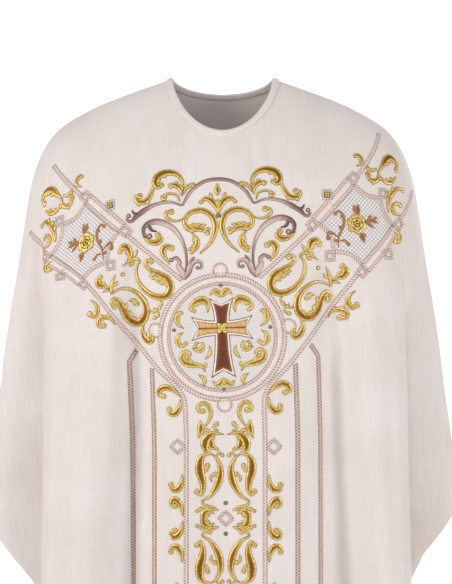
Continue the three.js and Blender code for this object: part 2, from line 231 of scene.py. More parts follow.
# sum of bell-shaped troughs and ridges, each drifting and widening downwards
def foldDepth(fromFront, fromBack, drop):
    total = np.zeros_like(drop)
    for face, top, mid, hem, atTop, atMid, atHem, wideMid, wideHem, deepMid, deepHem in foldTable:
        place = fromFront if face == "front" else fromBack
        upper = np.clip((drop - top) / (mid - top), 0, 1)
        lower = np.clip((drop - mid) / (hem - mid), 0, 1)
        at = np.where(lower > 0, atMid + (atHem - atMid) * lower, atTop + (atMid - atTop) * upper)
        wide = np.where(lower > 0, wideMid + (wideHem - wideMid) * lower, wideMid * (0.45 + 0.55 * upper))
        deep = np.where(lower > 0, deepMid + (deepHem - deepMid) * lower, deepMid * smooth(upper))
        total += deep * np.exp(-(((place - at) / wide) ** 2))
    for face, start, end, atStart, atEnd, wide, deep in creaseTable:
        place = fromFront if face == "front" else fromBack
        t = np.clip((drop - start) / (end - start), 0, 1)
        at = atStart + (atEnd - atStart) * t
        total += deep * np.sin(np.pi * t) ** 0.6 * np.exp(-(((place - at) / wide) ** 2))
    return total


# a point of the cloth's outer face: ring v, and the distance round it from the middle of the front
def clothPoint(v, distance):
    v, distance = np.broadcast_arrays(np.asarray(v, float), np.asarray(distance, float))
    length = np.interp(v, ringPlaces, ringLengths)
    side = np.where(distance < 0, -1.0, 1.0)
    far = np.minimum(np.abs(distance), length)
    row = v / lastRing * (len(ringPlaces) - 1)
    base = sampleGrid(baseGrid, row, far / length * (baseGrid.shape[1] - 1))
    depth = foldDepth(side * far, -side * (length - far), -base[..., 2])
    x = side * (base[..., 0] + base[..., 3] * depth)
    return np.stack([x, base[..., 1] + base[..., 4] * depth, base[..., 2]], -1)


# Meshes

# verts in mm, faces as blocks of equal faces, and a row of uvs and values for each vertex
def makeObject(name, verts, faces, material, uvs, values=None, replaced=()):
    mesh = bpy.data.meshes.new(name)
    mesh.from_pydata((verts / 1000).tolist(), [], [face for block in faces for face in block.tolist()])
    mesh.polygons.foreach_set("use_smooth", np.ones(len(mesh.polygons), bool))
    corner = np.empty(len(mesh.loops), np.int32)
    mesh.loops.foreach_get("vertex_index", corner)
    mesh.uv_layers.new(name="laid").data.foreach_set("uv", uvs.astype(np.float32)[corner].ravel())
    for key, numbers in (values or {}).items():
        attribute = mesh.attributes.new(key, "FLOAT", "POINT")
        attribute.data.foreach_set("value", numbers.astype(np.float32))
    mesh.materials.append(material)
    piece = linkObject(name, mesh)
    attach(piece, "root")
    if replaced:
        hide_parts(*replaced)
    return piece


# quads of a grid; closed joins the last column to the first, and looped the last row to the first
def gridFaces(rows, columns, start=0, closed=False, looped=False):
    r = np.arange(rows if looped else rows - 1)[:, None]
    c = np.arange(columns if closed else columns - 1)[None, :]
    below = (r + 1) % rows
    after = (c + 1) % columns
    quads = [r * columns + c, below * columns + c, below * columns + after, r * columns + after]
    return np.stack(np.broadcast_arrays(*quads), -1).reshape(-1, 4) + start


# a fan round the middle, rings of quads, and one face below
def discFaces(rings, around):
    first = 1 + np.arange(around)
    fan = np.stack([0 * first, first, np.roll(first, -1)], -1)
    return [fan, gridFaces(rings, around, start=1, closed=True), (first + (rings - 1) * around)[None, ::-1]]


# the quads of a plate, and one face below that follows its rim
def plateFaces(rows, columns):
    number = np.arange(rows * columns).reshape(rows, columns)
    rim = np.concatenate([number[0], number[1:, -1], number[-1, -2::-1], number[-2:0:-1, 0]])
    return [gridFaces(rows, columns), rim[None]]


# Materials

wool = {
    "threads": (620, 22, 1), "slubs": (24, 560, 1),  # how often each repeats across and down, in a metre
    "slub tone": 0.32, "slub height": 0.4,  # beside those of the threads
    "bump": 0.16, "depth": 0.4,
}


# plain-woven light wool with a little silk: matt, softly fuzzy, faint slubs in both directions
def woolMaterial():
    material, tree, shader = newMaterial("ivory wool", {
        "Roughness": 0.82, "Sheen Weight": 0.25, "Sheen Roughness": 0.5, "Specular IOR Level": 0.25,
    })
    place = addNode(tree, "ShaderNodeTexCoord", output="UV")
    grains = []
    # threads 1.6 mm apart, as fine as the view can show, and slubs 30 to 60 mm long
    for scale in (wool["threads"], wool["slubs"]):
        stretched = addNode(tree, "ShaderNodeMapping", {"Scale": scale}, {"Vector": place})
        fuzz = {"Scale": 1.0, "Detail": 3.0, "Roughness": 0.6}
        grains.append(addNode(tree, "ShaderNodeTexNoise", fuzz, {"Vector": stretched}, "Fac"))
    threads, slubs = grains
    raised = {"operation": "MULTIPLY_ADD", 1: wool["slub height"]}
    height = addNode(tree, "ShaderNodeMath", raised, {0: slubs, 2: threads})
    tone = addNode(tree, "ShaderNodeMix", {0: wool["slub tone"]}, {2: threads, 3: slubs})
    cloudy = addNode(tree, "ShaderNodeTexNoise", {"Scale": 9.0, "Detail": 2.0}, {"Vector": place}, "Fac")
    base = addNode(tree, "ShaderNodeValToRGB", links={"Fac": tone},
                   stops=((0.34, "#E4DEDC"), (0.5, "#EAE4E2"), (0.66, "#EFEAE8")))
    cloud = addNode(tree, "ShaderNodeValToRGB", links={"Fac": cloudy},
                    stops=((0.3, "#FFFFFF"), (0.7, "#FAF6F3")))
    multiply = {"data_type": "RGBA", "blend_type": "MULTIPLY", 0: 1.0}
    colour = addNode(tree, "ShaderNodeMix", multiply, {6: base, 7: cloud}, 2)
    dressSurface(tree, shader, colour, height, wool["bump"], wool["depth"])
    return material


# Threads lie across the stroke with a slant, in bunches; the streaks where they catch the light are painted
# sheen that darkens the colour between them, and they are raised a little as bumps.
satin = {
    "slant": 0.45, "bunches": (330, 130, 1), "threads": (1400, 200, 1),
    "streaks": 0.5, "bump": 0.55, "depth": 0.8,
}


# satin stitch; stops colour it by the inset from its edge in units of reach mm, along by its share
def threadMaterial(name, stops, roughness, along=(), reach=6, streaks="#C4B8A8", metallic=0.0, sheen=0.0):
    surface = {"Roughness": roughness, "Metallic": metallic, "Sheen Weight": sheen}
    material, tree, shader = newMaterial(name, surface)
    inset = addNode(tree, "ShaderNodeAttribute", {"attribute_name": "inset"}, output="Fac")
    reached = addNode(tree, "ShaderNodeMath", {"operation": "MULTIPLY", 1: 1 / reach}, {0: inset})
    colour = addNode(tree, "ShaderNodeValToRGB", links={"Fac": reached}, stops=stops)
    multiply = {"data_type": "RGBA", "blend_type": "MULTIPLY"}
    if along:
        share = addNode(tree, "ShaderNodeAttribute", {"attribute_name": "share"}, output="Fac")
        shade = addNode(tree, "ShaderNodeValToRGB", links={"Fac": share}, stops=along)
        colour = addNode(tree, "ShaderNodeMix", {**multiply, 0: 1.0}, {6: colour, 7: shade}, 2)
    place = addNode(tree, "ShaderNodeTexCoord", output="UV")
    slant = {"Rotation": (0, 0, satin["slant"])}
    bunched = addNode(tree, "ShaderNodeMapping", {**slant, "Scale": satin["bunches"]}, {"Vector": place})
    spun = {"Scale": 1.0, "Detail": 2.0, "Roughness": 0.6}
    bunches = addNode(tree, "ShaderNodeTexNoise", spun, {"Vector": bunched}, "Fac")
    # painted sheen: the colour is darkened towards the streaks colour between the bunches
    tint = addNode(tree, "ShaderNodeValToRGB", links={"Fac": bunches},
                   stops=((0.4, streaks), (0.57, "#FFFFFF")))
    colour = addNode(tree, "ShaderNodeMix", {**multiply, 0: satin["streaks"]}, {6: colour, 7: tint}, 2)
    fine = addNode(tree, "ShaderNodeMapping", {**slant, "Scale": satin["threads"]}, {"Vector": place})
    threads = addNode(tree, "ShaderNodeTexNoise", {"Scale": 1.0, "Detail": 1.0}, {"Vector": fine}, "Fac")
    height = addNode(tree, "ShaderNodeMath", {"operation": "MULTIPLY_ADD", 1: 0.5}, {0: threads, 2: bunches})
    dressSurface(tree, shader, colour, height, satin["bump"], satin["depth"])
    return material


# Both grounds are worked out from x and y in cells; far is the distance from the nearest thread.
crossingThreads = [
    ("toX", "PINGPONG", "x", 0.5),
    ("toY", "PINGPONG", "y", 0.5),
    ("far", "MINIMUM", "toX", "toY"),
]
# Each row's scale is a round arc that hangs from the row above, set over by half a scale.
hangingScales = [
    ("rows", "MULTIPLY", "y", 1.5),
    ("row", "FLOOR", "rows"),
    ("set over", "MULTIPLY_ADD", "row", 0.5, "x"),
    ("across", "FRACT", "set over"),
    ("along", "SUBTRACT", "across", 0.5),
    ("round", "MULTIPLY", "along", "along"),
    ("up", "FRACT", "rows"),
    ("from top", "SUBTRACT", 0.2, "up"),
    ("bent", "MULTIPLY_ADD", "round", 2.4, "from top"),
    ("far", "ABSOLUTE", "bent"),
]


# a ground of white threads with painted grey-blue shade in the grooves between them; cell is in mm
def groundMaterial(name, cell, steps, stops):
    material, tree, shader = newMaterial(name, {"Roughness": 0.7})
    place = addNode(tree, "ShaderNodeTexCoord", output="UV")
    sized = addNode(tree, "ShaderNodeMapping", {"Scale": (1000 / cell,) * 3}, {"Vector": place})
    found = {}
    for key in ("x", "y"):
        found[key] = addNode(tree, "ShaderNodeSeparateXYZ", links={"Vector": sized}, output=key.upper())
    for key, operation, *terms in steps:
        numbers = {i: term for i, term in enumerate(terms) if not isinstance(term, str)}
        sockets = {i: found[term] for i, term in enumerate(terms) if isinstance(term, str)}
        found[key] = addNode(tree, "ShaderNodeMath", {"operation": operation, **numbers}, sockets)
    colour = addNode(tree, "ShaderNodeValToRGB", links={"Fac": found["far"]}, stops=stops)
    dressSurface(tree, shader, colour, found["far"], 0.5, 0.8)
    return material


ivoryWool = woolMaterial()
# dusty rose and taupe rayon twist of the braids: matt, since the twist breaks up the light
roseTwist = threadMaterial("rose twist", ((0.0, "#A07D72"), (0.5, "#AE8B7F")), 0.6)
pillarTwist = threadMaterial("pillar twist", ((0.0, "#8C695E"), (0.5, "#9C786B")), 0.6)
# pale pink rayon under the braids' open stitches, with painted shade darkening it where it turns under at its
# edges
pinkGround = threadMaterial("pink ground", (
    (0.0, "#C9AFA5"), (0.12, "#D5BFB6"), (0.28, "#E8D8D1"), (1.0, "#EEE1DB"),
), 0.6, streaks="#EFE6E2")
# the same rayon in a deeper rose on the four pillars, with the same painted shade at its edges
roseGround = threadMaterial("rose ground", (
    (0.0, "#B2958A"), (0.14, "#C4A89D"), (0.3, "#DCC8BE"), (1.0, "#E4D2C9"),
), 0.6, streaks="#EADDD7")
# pale pink satin stitch, glossy; its edges are darkened with painted shade
pinkSatin = threadMaterial("pink satin", (
    (0.0, "#E6D5CD"), (0.06, "#EFE1DA"), (1.0, "#F4E8E3"),
), 0.42, streaks="#EADFD9", sheen=0.2)
# taupe satin stitch shaded by hand from mauve brown to pink beige
taupeSatin = threadMaterial("taupe satin", (
    (0.0, "#785A52"), (0.1, "#A4877D"), (0.25, "#E0C8BE"), (1.0, "#EAD5CC"),
), 0.45, along=((0.0, "#FFFFFF"), (0.5, "#C2ADA6"), (1.0, "#7A635B")), reach=4.5)
# metallic gold thread: painted shadow as an olive brown edge, a painted highlight as the pale yellow crest,
# ochre silk in the middle of the broad strokes
goldThread = threadMaterial("gold thread", (
    (0.0, "#7E611C"), (0.08, "#B08B30"), (0.18, "#E2C25C"), (0.31, "#FCEB9E"),
    (0.45, "#DDB74E"), (0.6, "#B28228"), (0.85, "#976918"), (1.0, "#885C12"),
), 0.3, streaks="#B28E48", metallic=0.35)
# the same thread worked all over with no silk between: painted shadow at the edge, painted highlight along
# the crest, and darker towards the middle of the broadest strokes and knots
brightGold = threadMaterial("bright gold thread", (
    (0.0, "#6E5418"), (0.1, "#A5832F"), (0.22, "#DDC05A"), (0.4, "#FCEC9C"),
    (0.62, "#D2A844"), (1.0, "#8E641C"),
), 0.3, streaks="#C2A258", metallic=0.3)
# the cross's silks: a dark outline painted as the shadow round the cross, a cream edge, then copper on the
# upright and tan on the beam
shadowedCreamEdge = ((0.0, "#6A4E2C"), (0.11, "#7E6038"), (0.15, "#FFFBF0"), (0.34, "#FFF6E6"))
copperSilk = threadMaterial("copper silk", (
    *shadowedCreamEdge, (0.39, "#6E3C1C"), (0.5, "#9C5C32"), (0.66, "#7A3814"), (1.0, "#6C2C0C"),
), 0.4, reach=10, streaks="#D8B8A0")
tanSilk = threadMaterial("tan silk", (
    *shadowedCreamEdge, (0.39, "#7E5026"), (0.46, "#D09854"), (0.68, "#EDC288"), (1.0, "#E2B070"),
), 0.4, along=((0.0, "#9A6A38"), (0.05, "#9A6A38"), (0.12, "#FFFFFF")), reach=10)
# brown silk of the leaves and stems, paler along the middle; olive silk of the small dots
brownSilk = threadMaterial("brown silk", (
    (0.0, "#6A3E16"), (0.14, "#A8702F"), (0.3, "#C48F4A"), (0.5, "#8A5020"),
), 0.42)
oliveSilk = threadMaterial("olive silk", ((0.0, "#6E6250"), (0.4, "#9A8C74"), (1.0, "#A89A80")), 0.5)
# white cotton threads with painted grey-blue shade in the gaps between them: crossing threads in the
# lozenges, scales in the medallion
latticeWhite = groundMaterial("white lattice", 4.6, crossingThreads, (
    (0.02, "#A8A6AC"), (0.12, "#D9D3D2"), (0.24, "#F3EDEA"),
))
netGround = groundMaterial("net ground", 4.6, hangingScales, (
    (0.02, "#B4ADB0"), (0.12, "#DCD4D3"), (0.26, "#EFE8E6"),
))
print("materials made")


# Front and back

clothSizes = {
    "front": (176, 236),  # rows and columns
    "back": (150, 190),
    "thick": 1.2,
    "seam": 0.15,  # half the gap along the shoulder seams
    "side from": 120, "side turn": 160,  # where the grain begins to follow the cloth round, and over how far
}


# half of every ring, from shoulder seam to shoulder seam
def panel(name, face, replaced):
    rows, columns = clothSizes[face]
    v = np.linspace(0, lastRing, rows)[:, None]
    share = np.linspace(-1, 1, columns)[None, :]
    seam = np.interp(v, ringPlaces, seamLengths)
    length = np.interp(v, ringPlaces, ringLengths)
    if face == "front":
        distance = share * (seam - clothSizes["seam"])
    else:
        across = share * (length - seam - clothSizes["seam"])
        distance = (length - np.abs(across)) * np.where(across < 0, 1, -1)
    points = clothPoint(np.broadcast_to(v, distance.shape), distance)
    # the grain runs down and across as seen, and follows the cloth round at the sides
    atSide = smooth((np.abs(points[..., 0]) - clothSizes["side from"]) / clothSizes["side turn"])
    grain = points[..., 0] * (1 - atSide) + share * seam * atSide
    uvs = np.stack([grain, points[..., 2]], -1).reshape(-1, 2) / 1000
    cloth = makeObject(name, points.reshape(-1, 3), [gridFaces(rows, columns)], ivoryWool, uvs,
                       replaced=[replaced])
    wall = cloth.modifiers.new("wall", "SOLIDIFY")
    wall.thickness = clothSizes["thick"] / 1000
    wall.offset = -1
    corner = points[:-1, :-1]
    area = np.linalg.norm(np.cross(points[1:, :-1] - corner, points[:-1, 1:] - corner), axis=-1)
    print(name, "worn area m2", round(float(area.sum()) / 1e6, 3))
    return cloth


frontCloth = panel("front_cloth", "front", "front_panel")
backCloth = panel("back_cloth", "back", "back_panel")

binding = {
    "below": 10.0, "above": 1.5,  # how far it reaches down the cloth, and past its edge
    "lift": 1.0, "bulge": 1.7, "under": 2.2,
    "ring gap": 26,  # from the neck edge down to the next ring
    "columns": 180, "across": 7,
    "half round": 0.24, "wide": 0.03,  # in m, for the weave
}


# a rolled strip round the neck edge, crowned across its width
def neckBinding():
    columns, across = binding["columns"], binding["across"]
    share = np.linspace(-1, 1, columns, endpoint=False)[None, :]
    t = np.linspace(0, 1, across)[:, None]
    v = (binding["below"] / binding["ring gap"]) * t
    little = 0.08  # a small step down the cloth, for its direction
    points = clothPoint(np.broadcast_to(v, (across, columns)), share * np.interp(v, ringPlaces, ringLengths))
    v = v + little
    lower = clothPoint(np.broadcast_to(v, (across, columns)), share * np.interp(v, ringPlaces, ringLengths))
    upward = unitLength(points - lower)
    normal = unitLength(np.cross(np.roll(points, -1, axis=1) - np.roll(points, 1, axis=1), upward))
    points = points + upward * binding["above"] * (1 - t)[..., None]
    crown = binding["lift"] + binding["bulge"] * np.sin(np.pi * (0.12 + 0.76 * t)) ** 0.7
    top = points + normal * crown[..., None]
    under = points[::-1] - normal[::-1] * binding["under"]
    u = np.broadcast_to(share, (2 * across, columns)) * binding["half round"]
    w = np.broadcast_to(np.linspace(0, binding["wide"], 2 * across)[:, None], (2 * across, columns))
    verts = np.concatenate([top, under]).reshape(-1, 3)
    faces = [gridFaces(2 * across, columns, closed=True, looped=True)]
    makeObject("neck_edge", verts, faces, ivoryWool, np.stack([u, w], -1).reshape(-1, 2),
               replaced=["neck_binding"])


neckBinding()
print("cloth made")


# Where the drawing lies on the front: it is drawn flat, in mm from the medallion's centre

hanging = {
    "lean": 0.0332, "plumb below": -150,  # the garment leans a little above this height
    "medallion": 405,  # the centre's drop below the neck points
    "sag from": 150, "sag": 0.22, "draw": 0.12, "sag lowest": 40, "sag full": 150,  # of the left arm
}


# from the flat drawing to the distance round the front and the height beside the medallion's centre
def hang(x, z):
    leaning = smooth((z - hanging["plumb below"] - 20) / 80 + 0.5)
    sx = x - hanging["lean"] * np.maximum(z, hanging["plumb below"])
    sz = z + hanging["lean"] * leaning * x
    beyond = np.maximum(0, -sx - hanging["sag from"])
    full = smooth((sz - hanging["sag lowest"]) / (hanging["sag full"] - hanging["sag lowest"]))
    return sx + hanging["draw"] * beyond * smooth((sz + 60) / 100), sz - hanging["sag"] * beyond * full


chart = {"left": -372, "low": -768, "step": 3, "columns": 249, "rows": 388, "halvings": 18}


# the front's points at a square grid of the drawing, by halving the range of rings until the drop fits
def buildChart():
    x = chart["left"] + chart["step"] * np.arange(chart["columns"])[None, :]
    z = chart["low"] + chart["step"] * np.arange(chart["rows"])[:, None]
    distance, height = hang(x + 0.0 * z, z + 0.0 * x)
    drop = hanging["medallion"] - height
    low = np.zeros_like(drop)
    high = np.full_like(drop, float(lastRing))
    for _ in range(chart["halvings"]):
        middle = (low + high) / 2
        short = -clothPoint(middle, distance)[..., 2] < drop
        low = np.where(short, middle, low)
        high = np.where(short, high, middle)
    points = clothPoint((low + high) / 2, distance)
    normals = unitLength(np.cross(np.gradient(points, axis=1), np.gradient(points, axis=0)))
    return np.concatenate([points, normals], -1)


chartGrid = buildChart()


# points and outward directions of the front at drawn points
def onFront(drawn):
    a = (drawn[..., 1] - chart["low"]) / chart["step"]
    b = (drawn[..., 0] - chart["left"]) / chart["step"]
    found = sampleGrid(chartGrid, a, b)
    return found[..., :3], unitLength(found[..., 3:])


print("drawing laid out")


# Lines of the drawing

# even steps along straight runs between corners
def evenLine(corners, step):
    corners = np.asarray(corners, float)
    run = runOf(corners)
    at = np.linspace(0, run[-1], max(2, int(round(run[-1] / step)) + 1))
    return np.stack([np.interp(at, run, corners[:, i]) for i in (0, 1)], -1)


# a smooth line through a few drawn points: a cubic between each two, in even steps
def curve(points, step=1.5):
    p = np.asarray(points, float)
    p = np.vstack([2 * p[0] - p[1], p, 2 * p[-1] - p[-2]])
    t = np.linspace(0, 1, 16, endpoint=False)[:, None]
    line = []
    for before, start, end, after in zip(p, p[1:], p[2:], p[3:]):
        bend = 2 * before - 5 * start + 4 * end - after
        line.append(start + 0.5 * t * (end - before + t * (bend + t * (3 * (start - end) + after - before))))
    return evenLine(np.vstack(line + [p[-2:-1]]), step)


def ringLine(radius, x=0.0, z=0.0, count=72):
    a = np.linspace(0, 2 * math.pi, count + 1)
    return np.stack([x + radius * np.cos(a), z + radius * np.sin(a)], -1)


def flipped(line, side):
    return line * [side, 1]


def turned(flat, angle):
    c, s = math.cos(angle), math.sin(angle)
    return np.stack([flat[..., 0] * c - flat[..., 1] * s, flat[..., 0] * s + flat[..., 1] * c], -1)


# a line's direction and its left-hand side at each point
def lineSides(line, closed=False):
    if closed:
        run = np.roll(line, -1, axis=0) - np.roll(line, 1, axis=0)
    else:
        run = np.gradient(line, axis=0)
    run = unitLength(run)
    return run, np.stack([-run[:, 1], run[:, 0]], -1)


# Ways of stitching. Each gives points in mm, blocks of faces, uvs in m, and for each point its inset from
# the stitching's edge in mm and its share of the way across or along.

stitching = {
    "lift": 0.2, "tuck": -0.15,  # edges are tucked just under the cloth's face
    "crown": 0.6, "full width": 4, "least height": 0.35,  # narrower strokes lie lower, down to this share
    "ease": 0.75, "round end": 0.6, "least width": 0.25,  # of strokes whose width changes
}
# one slanted stitch of a braid: places along it with their share of its width
spindle = {
    "places": ((-1, 0), (-0.6, 0.8), (0, 1), (0.6, 0.8), (1, 0)),
    "points": 14, "raised": 0.3, "flatness": 0.35, "droop": 0.15,
}


# what each way gives back: one row, or one number, for each point
def stitchedPart(points, faces, flat, inset, share):
    return points.reshape(-1, 3), faces, flat.reshape(-1, 2) / 1000, inset.ravel(), share.ravel()


# a crowned strip: height times (1 - u^2)^0.6 above the cloth, u from -1 to 1 across it
def satinStroke(line, widths, height, lift=stitching["lift"], across=7, closed=False, shade=(0, 1), tilt=0.0):
    n = len(line)
    widths = np.broadcast_to(np.asarray(widths, float), (n,))[:, None]
    _, side = lineSides(line, closed)
    u = np.cos(np.linspace(math.pi, 0, across))[None, :]
    points, normals = onFront(line[:, None] + side[:, None] * (u * widths / 2)[..., None])
    crown = np.maximum(0, 1 - u ** 2) ** stitching["crown"]
    tall = height * np.clip(widths / stitching["full width"], stitching["least height"], 1)
    rise = np.where(crown > 0, lift + tall * crown, stitching["tuck"])
    along = runOf(line)[:, None]
    share = np.interp(along / along[-1], np.linspace(0, 1, len(shade)), shade) + tilt * u
    faces = [gridFaces(n, across, closed=True, looped=closed)]  # the last column closes the underside
    if not closed:
        ends = np.arange(n * across).reshape(n, across)
        faces += [ends[:1], ends[-1:, ::-1]]
    flat = np.stack([np.broadcast_to(along, (n, across)), u * widths / 2], -1)
    return stitchedPart(points + normals * rise[..., None], faces, flat, (1 - np.abs(u)) * widths / 2, share)


# width eases from its start to most at peak and on to its end, and both ends are rounded off
def easedWidths(line, ends, peak, most):
    along = runOf(line)
    t = along / along[-1]
    rising = ends[0] + (most - ends[0]) * smooth(t / peak) ** stitching["ease"]
    falling = ends[1] + (most - ends[1]) * smooth((1 - t) / (1 - peak)) ** stitching["ease"]
    width = np.where(t < peak, rising, falling)
    for near in (along, along[-1] - along):
        reach = np.maximum(width / 2, stitching["round end"])
        width = width * np.sqrt(np.clip(1 - (1 - np.clip(near / reach, 0.05, 1)) ** 2, 0, 1))
    return np.maximum(width, stitching["least width"])


# flat points of a disc, its middle first, and how far out each is as a share
def discPoints(radius, rings, around, stretch=1.0):
    r = np.linspace(0, 1, rings + 1)[1:, None]
    a = np.linspace(0, 2 * math.pi, around, endpoint=False)
    flat = np.stack([r * np.cos(a) * radius * stretch, r * np.sin(a) * radius], -1).reshape(-1, 2)
    return np.vstack([[[0, 0]], flat]), np.concatenate([[0], np.repeat(r, around)])


# a round knot: height times the square root of 1 - r^2
def dome(x, z, radius, height, lift=stitching["lift"], around=14, rings=4, stretch=1.0, turn=0.0):
    flat, reach = discPoints(radius, rings, around, stretch)
    flat = turned(flat, turn)
    points, normals = onFront(flat + [x, z])
    rise = np.where(reach < 1, lift + height * np.sqrt(np.maximum(0, 1 - reach ** 2)), stitching["tuck"])
    verts = points + normals * rise[:, None]
    return stitchedPart(verts, discFaces(rings, around), flat, (1 - reach) * radius * 0.75, reach)


# a flat disc of worked net, its rim tucked under the braid round it
def netDisc(radius, rise=0.45, rings=26, around=96):
    flat, reach = discPoints(radius, rings, around)
    points, normals = onFront(flat)
    verts = points + normals * np.where(reach < 1, rise, stitching["tuck"])[:, None]
    return stitchedPart(verts, discFaces(rings, around), flat, 0 * reach, 0 * reach)


# a filled patch of count points a side, whose height falls to the cloth within edge mm of its rim;
# spread gives the drawn point at shares u and w, and laid its place in the pattern where there is one
def patch(spread, count, height, edge, side, laid=None):
    u, w = np.meshgrid(np.linspace(0, 1, count), np.linspace(0, 1, count))
    drawn = flipped(spread(u, w), side)
    points, normals = onFront(drawn)
    sizeU = np.linalg.norm(drawn[:, -1] - drawn[:, 0], axis=-1)[:, None]
    sizeW = np.linalg.norm(drawn[-1] - drawn[0], axis=-1)[None, :]
    inset = np.minimum(np.minimum(u, 1 - u) * sizeU, np.minimum(w, 1 - w) * sizeW)
    rise = np.where(inset > 0, stitching["lift"] + height * smooth(0.3 + inset / edge), stitching["tuck"])
    flat = laid(u, w) if laid else drawn - drawn.reshape(-1, 2).mean(axis=0)
    faces = [block[:, ::side] for block in plateFaces(count, count)]  # turns a mirrored patch outwards again
    return stitchedPart(points + normals * rise[..., None], faces, flat, inset, w)


# slanted spindles in rows beside a line: rings of four points at three places, and two tips
def twistStitches(line, rows, length, thick, lift, closed=False):
    run, side = lineSides(line, closed)
    onward = np.roll(line, -1, axis=0) if closed else line + run * np.linalg.norm(line[1] - line[0])
    verts, flat = [], []
    for offset, slant, shift in rows:
        a = math.radians(slant)
        centre = line + (onward - line) * shift + side * offset
        reach = (run * math.cos(a) + side * math.sin(a)) * length / 2
        points, normals = onFront(centre)
        ahead, _ = onFront(centre + reach)
        behind, _ = onFront(centre - reach)
        axis = (ahead - behind) / 2
        beside = unitLength(np.cross(normals, axis))
        middle = points + normals * (lift + thick * spindle["raised"])
        for place, fat in spindle["places"]:
            base = middle + axis * place - normals * (spindle["droop"] * thick * place ** 2)
            for b, h in ((1, 0), (0, 1), (-1, 0), (0, -1)) if fat else ((0, 0),):
                high = h * fat * thick * spindle["flatness"]
                verts.append(base + beside * (b * fat * thick / 2) + normals * high)
                flat.append(np.full((len(line), 2), [place * length / 2, b * thick]))
    each = spindle["points"]
    shape = (len(rows), each, len(line), -1)
    verts, flat = (np.stack(found).reshape(shape).transpose(0, 2, 1, 3) for found in (verts, flat))
    i = np.arange(4)
    j = np.roll(i, -1)
    tips = np.concatenate([np.stack([0 * i, 1 + j, 1 + i], -1), np.stack([9 + i, 9 + j, 13 + 0 * i], -1)])
    sides = np.concatenate([np.stack([k + i, k + j, k + 4 + j, k + 4 + i], -1) for k in (1, 5)])
    starts = each * np.arange(len(line) * len(rows))[:, None, None]
    faces = [(tips + starts).reshape(-1, 3), (sides + starts).reshape(-1, 4)]
    filled = np.ones(len(starts) * each)
    return stitchedPart(verts, faces, flat, 1.6 * filled, 0.5 * filled)


# several stitched parts as one piece
def stitched(name, parts, material, replaced=()):
    starts = np.cumsum([0] + [len(part[0]) for part in parts])
    faces = [block + start for part, start in zip(parts, starts) for block in part[1]]
    verts, uvs, inset, share = (np.concatenate([part[i] for part in parts]) for i in (0, 2, 3, 4))
    makeObject(name, verts, faces, material, uvs, {"inset": inset, "share": share}, replaced)
    print(name, sum(len(block) * (block.shape[1] - 2) for block in faces), "triangles")


# Braids: a pink ribbon with two rows of slanted rose stitches

braid = {
    "width": 8.0, "ground": 0.4,  # the ribbon and its height
    "row": 2.0, "spacing": 4.3, "stitch": 3.8, "thick": 1.25, "slant": 58,  # the rows of stitches
    "step": 5, "least stitch": 2.8, "one row": 4.5,  # a ribbon no wider than this has one row
}


# one run of braid on each side: its ribbons and its rows of stitches
def braidRun(corners, sides=(1, -1), closed=False, width=braid["width"], thick=braid["thick"],
             slant=braid["slant"]):
    ribbons, twists = [], []
    scale = width / braid["width"]
    last = -1 if closed else None
    for side in sides:
        line = flipped(evenLine(corners, braid["step"]), side)[:last]
        ribbons.append(satinStroke(line, width, braid["ground"], across=5, closed=closed))
        line = flipped(evenLine(corners, braid["spacing"]), side)[:last]
        row = braid["row"] * scale * side
        rows = ((row, -slant * side, 0), (-row, -slant * side, 0.5))
        if width <= braid["one row"]:
            rows = ((0, slant * side, 0),)
        length = max(braid["stitch"] * scale, braid["least stitch"])
        twists.append(twistStitches(line, rows, length, thick, braid["ground"], closed))
    return ribbons, twists


# runs are pairs: corners, and what differs from the usual braid
def stitchBraids(name, runs, replaced=(), ground=pinkGround, twist=roseTwist):
    made = [braidRun(corners, **look) for corners, look in runs]
    stitched(name + "_ground", [part for ribbons, _ in made for part in ribbons], ground)
    stitched(name + "_twist", [part for _, twists in made for part in twists], twist, replaced)


column = {
    "inner": 59, "middle": 108, "outer": 144, "end": -742,  # its braids
    "repeat": 336, "repeats": 3, "turn": -542,  # its pattern repeats, and turns over: z becomes turn - z
    "last": -728, "clear": 8,  # the lowest diamond or dot, and how far above the end its scrolls stop
}
lozenge = {
    "x": 214, "z": 163, "half": 49,  # its middle, and the arm's half width at its braids
    "rails": ((45.5, 40), (58.5, 43)), "rail width": 6.4,  # how far from the middle, and half as long
    "lattice": 43, "reach": 38, "point": 13, "point width": 14,
    "end width": 6.6, "end reach": 44,  # the braids along the lattice's two pointed ends
    "corners": (50, 52), "middle": 66,  # where the small squares lie: four at the corners, four midway
    "square": 6.2, "filling": 3.6, "square width": 5.6,
    "bars": (23, 52), "bar": (35, 8.5),  # the satin between the rails: places, and length and width
}
armReach = {"upper": 150, "lower": 118}


# p runs up along the arm, q across it, down and out
def inLozenge(p, q):
    diagonal = math.sqrt(0.5)
    return np.stack([lozenge["x"] + (p + q) * diagonal, lozenge["z"] + (p - q) * diagonal], -1)


half = lozenge["half"]
bend = curve([(95, -49), (78, -65), (66, -79), (60, -94), (column["inner"], -112)], 5)
innerBraid = np.vstack([[inLozenge(-half - 9, half), (126, -12)], bend, [(column["inner"], column["end"])]])
stitchBraids("braid", [
    ([(58, 87), inLozenge(-half - 9, -half)], {}),
    ([inLozenge(half + 9, -half), inLozenge(armReach["upper"], -half)], {}),
    ([inLozenge(half + 9, half), inLozenge(armReach["lower"], half)], {}),
    (innerBraid, {}),
], ["arm_upper_braid_right", "arm_upper_braid_left", "arm_lower_braid_right", "arm_lower_braid_left"])
pillar = {"thick": 1.55}
stitchBraids("pillar_braid", [
    ([(column["middle"], -44), (column["middle"], column["end"])], pillar),
    ([(132, -16), (column["outer"], -33), (column["outer"], column["end"] + 22)], pillar),
], [
    "column_middle_braid_right", "column_middle_braid_left",
    "column_outer_braid_right", "column_outer_braid_left",
], roseGround, pillarTwist)


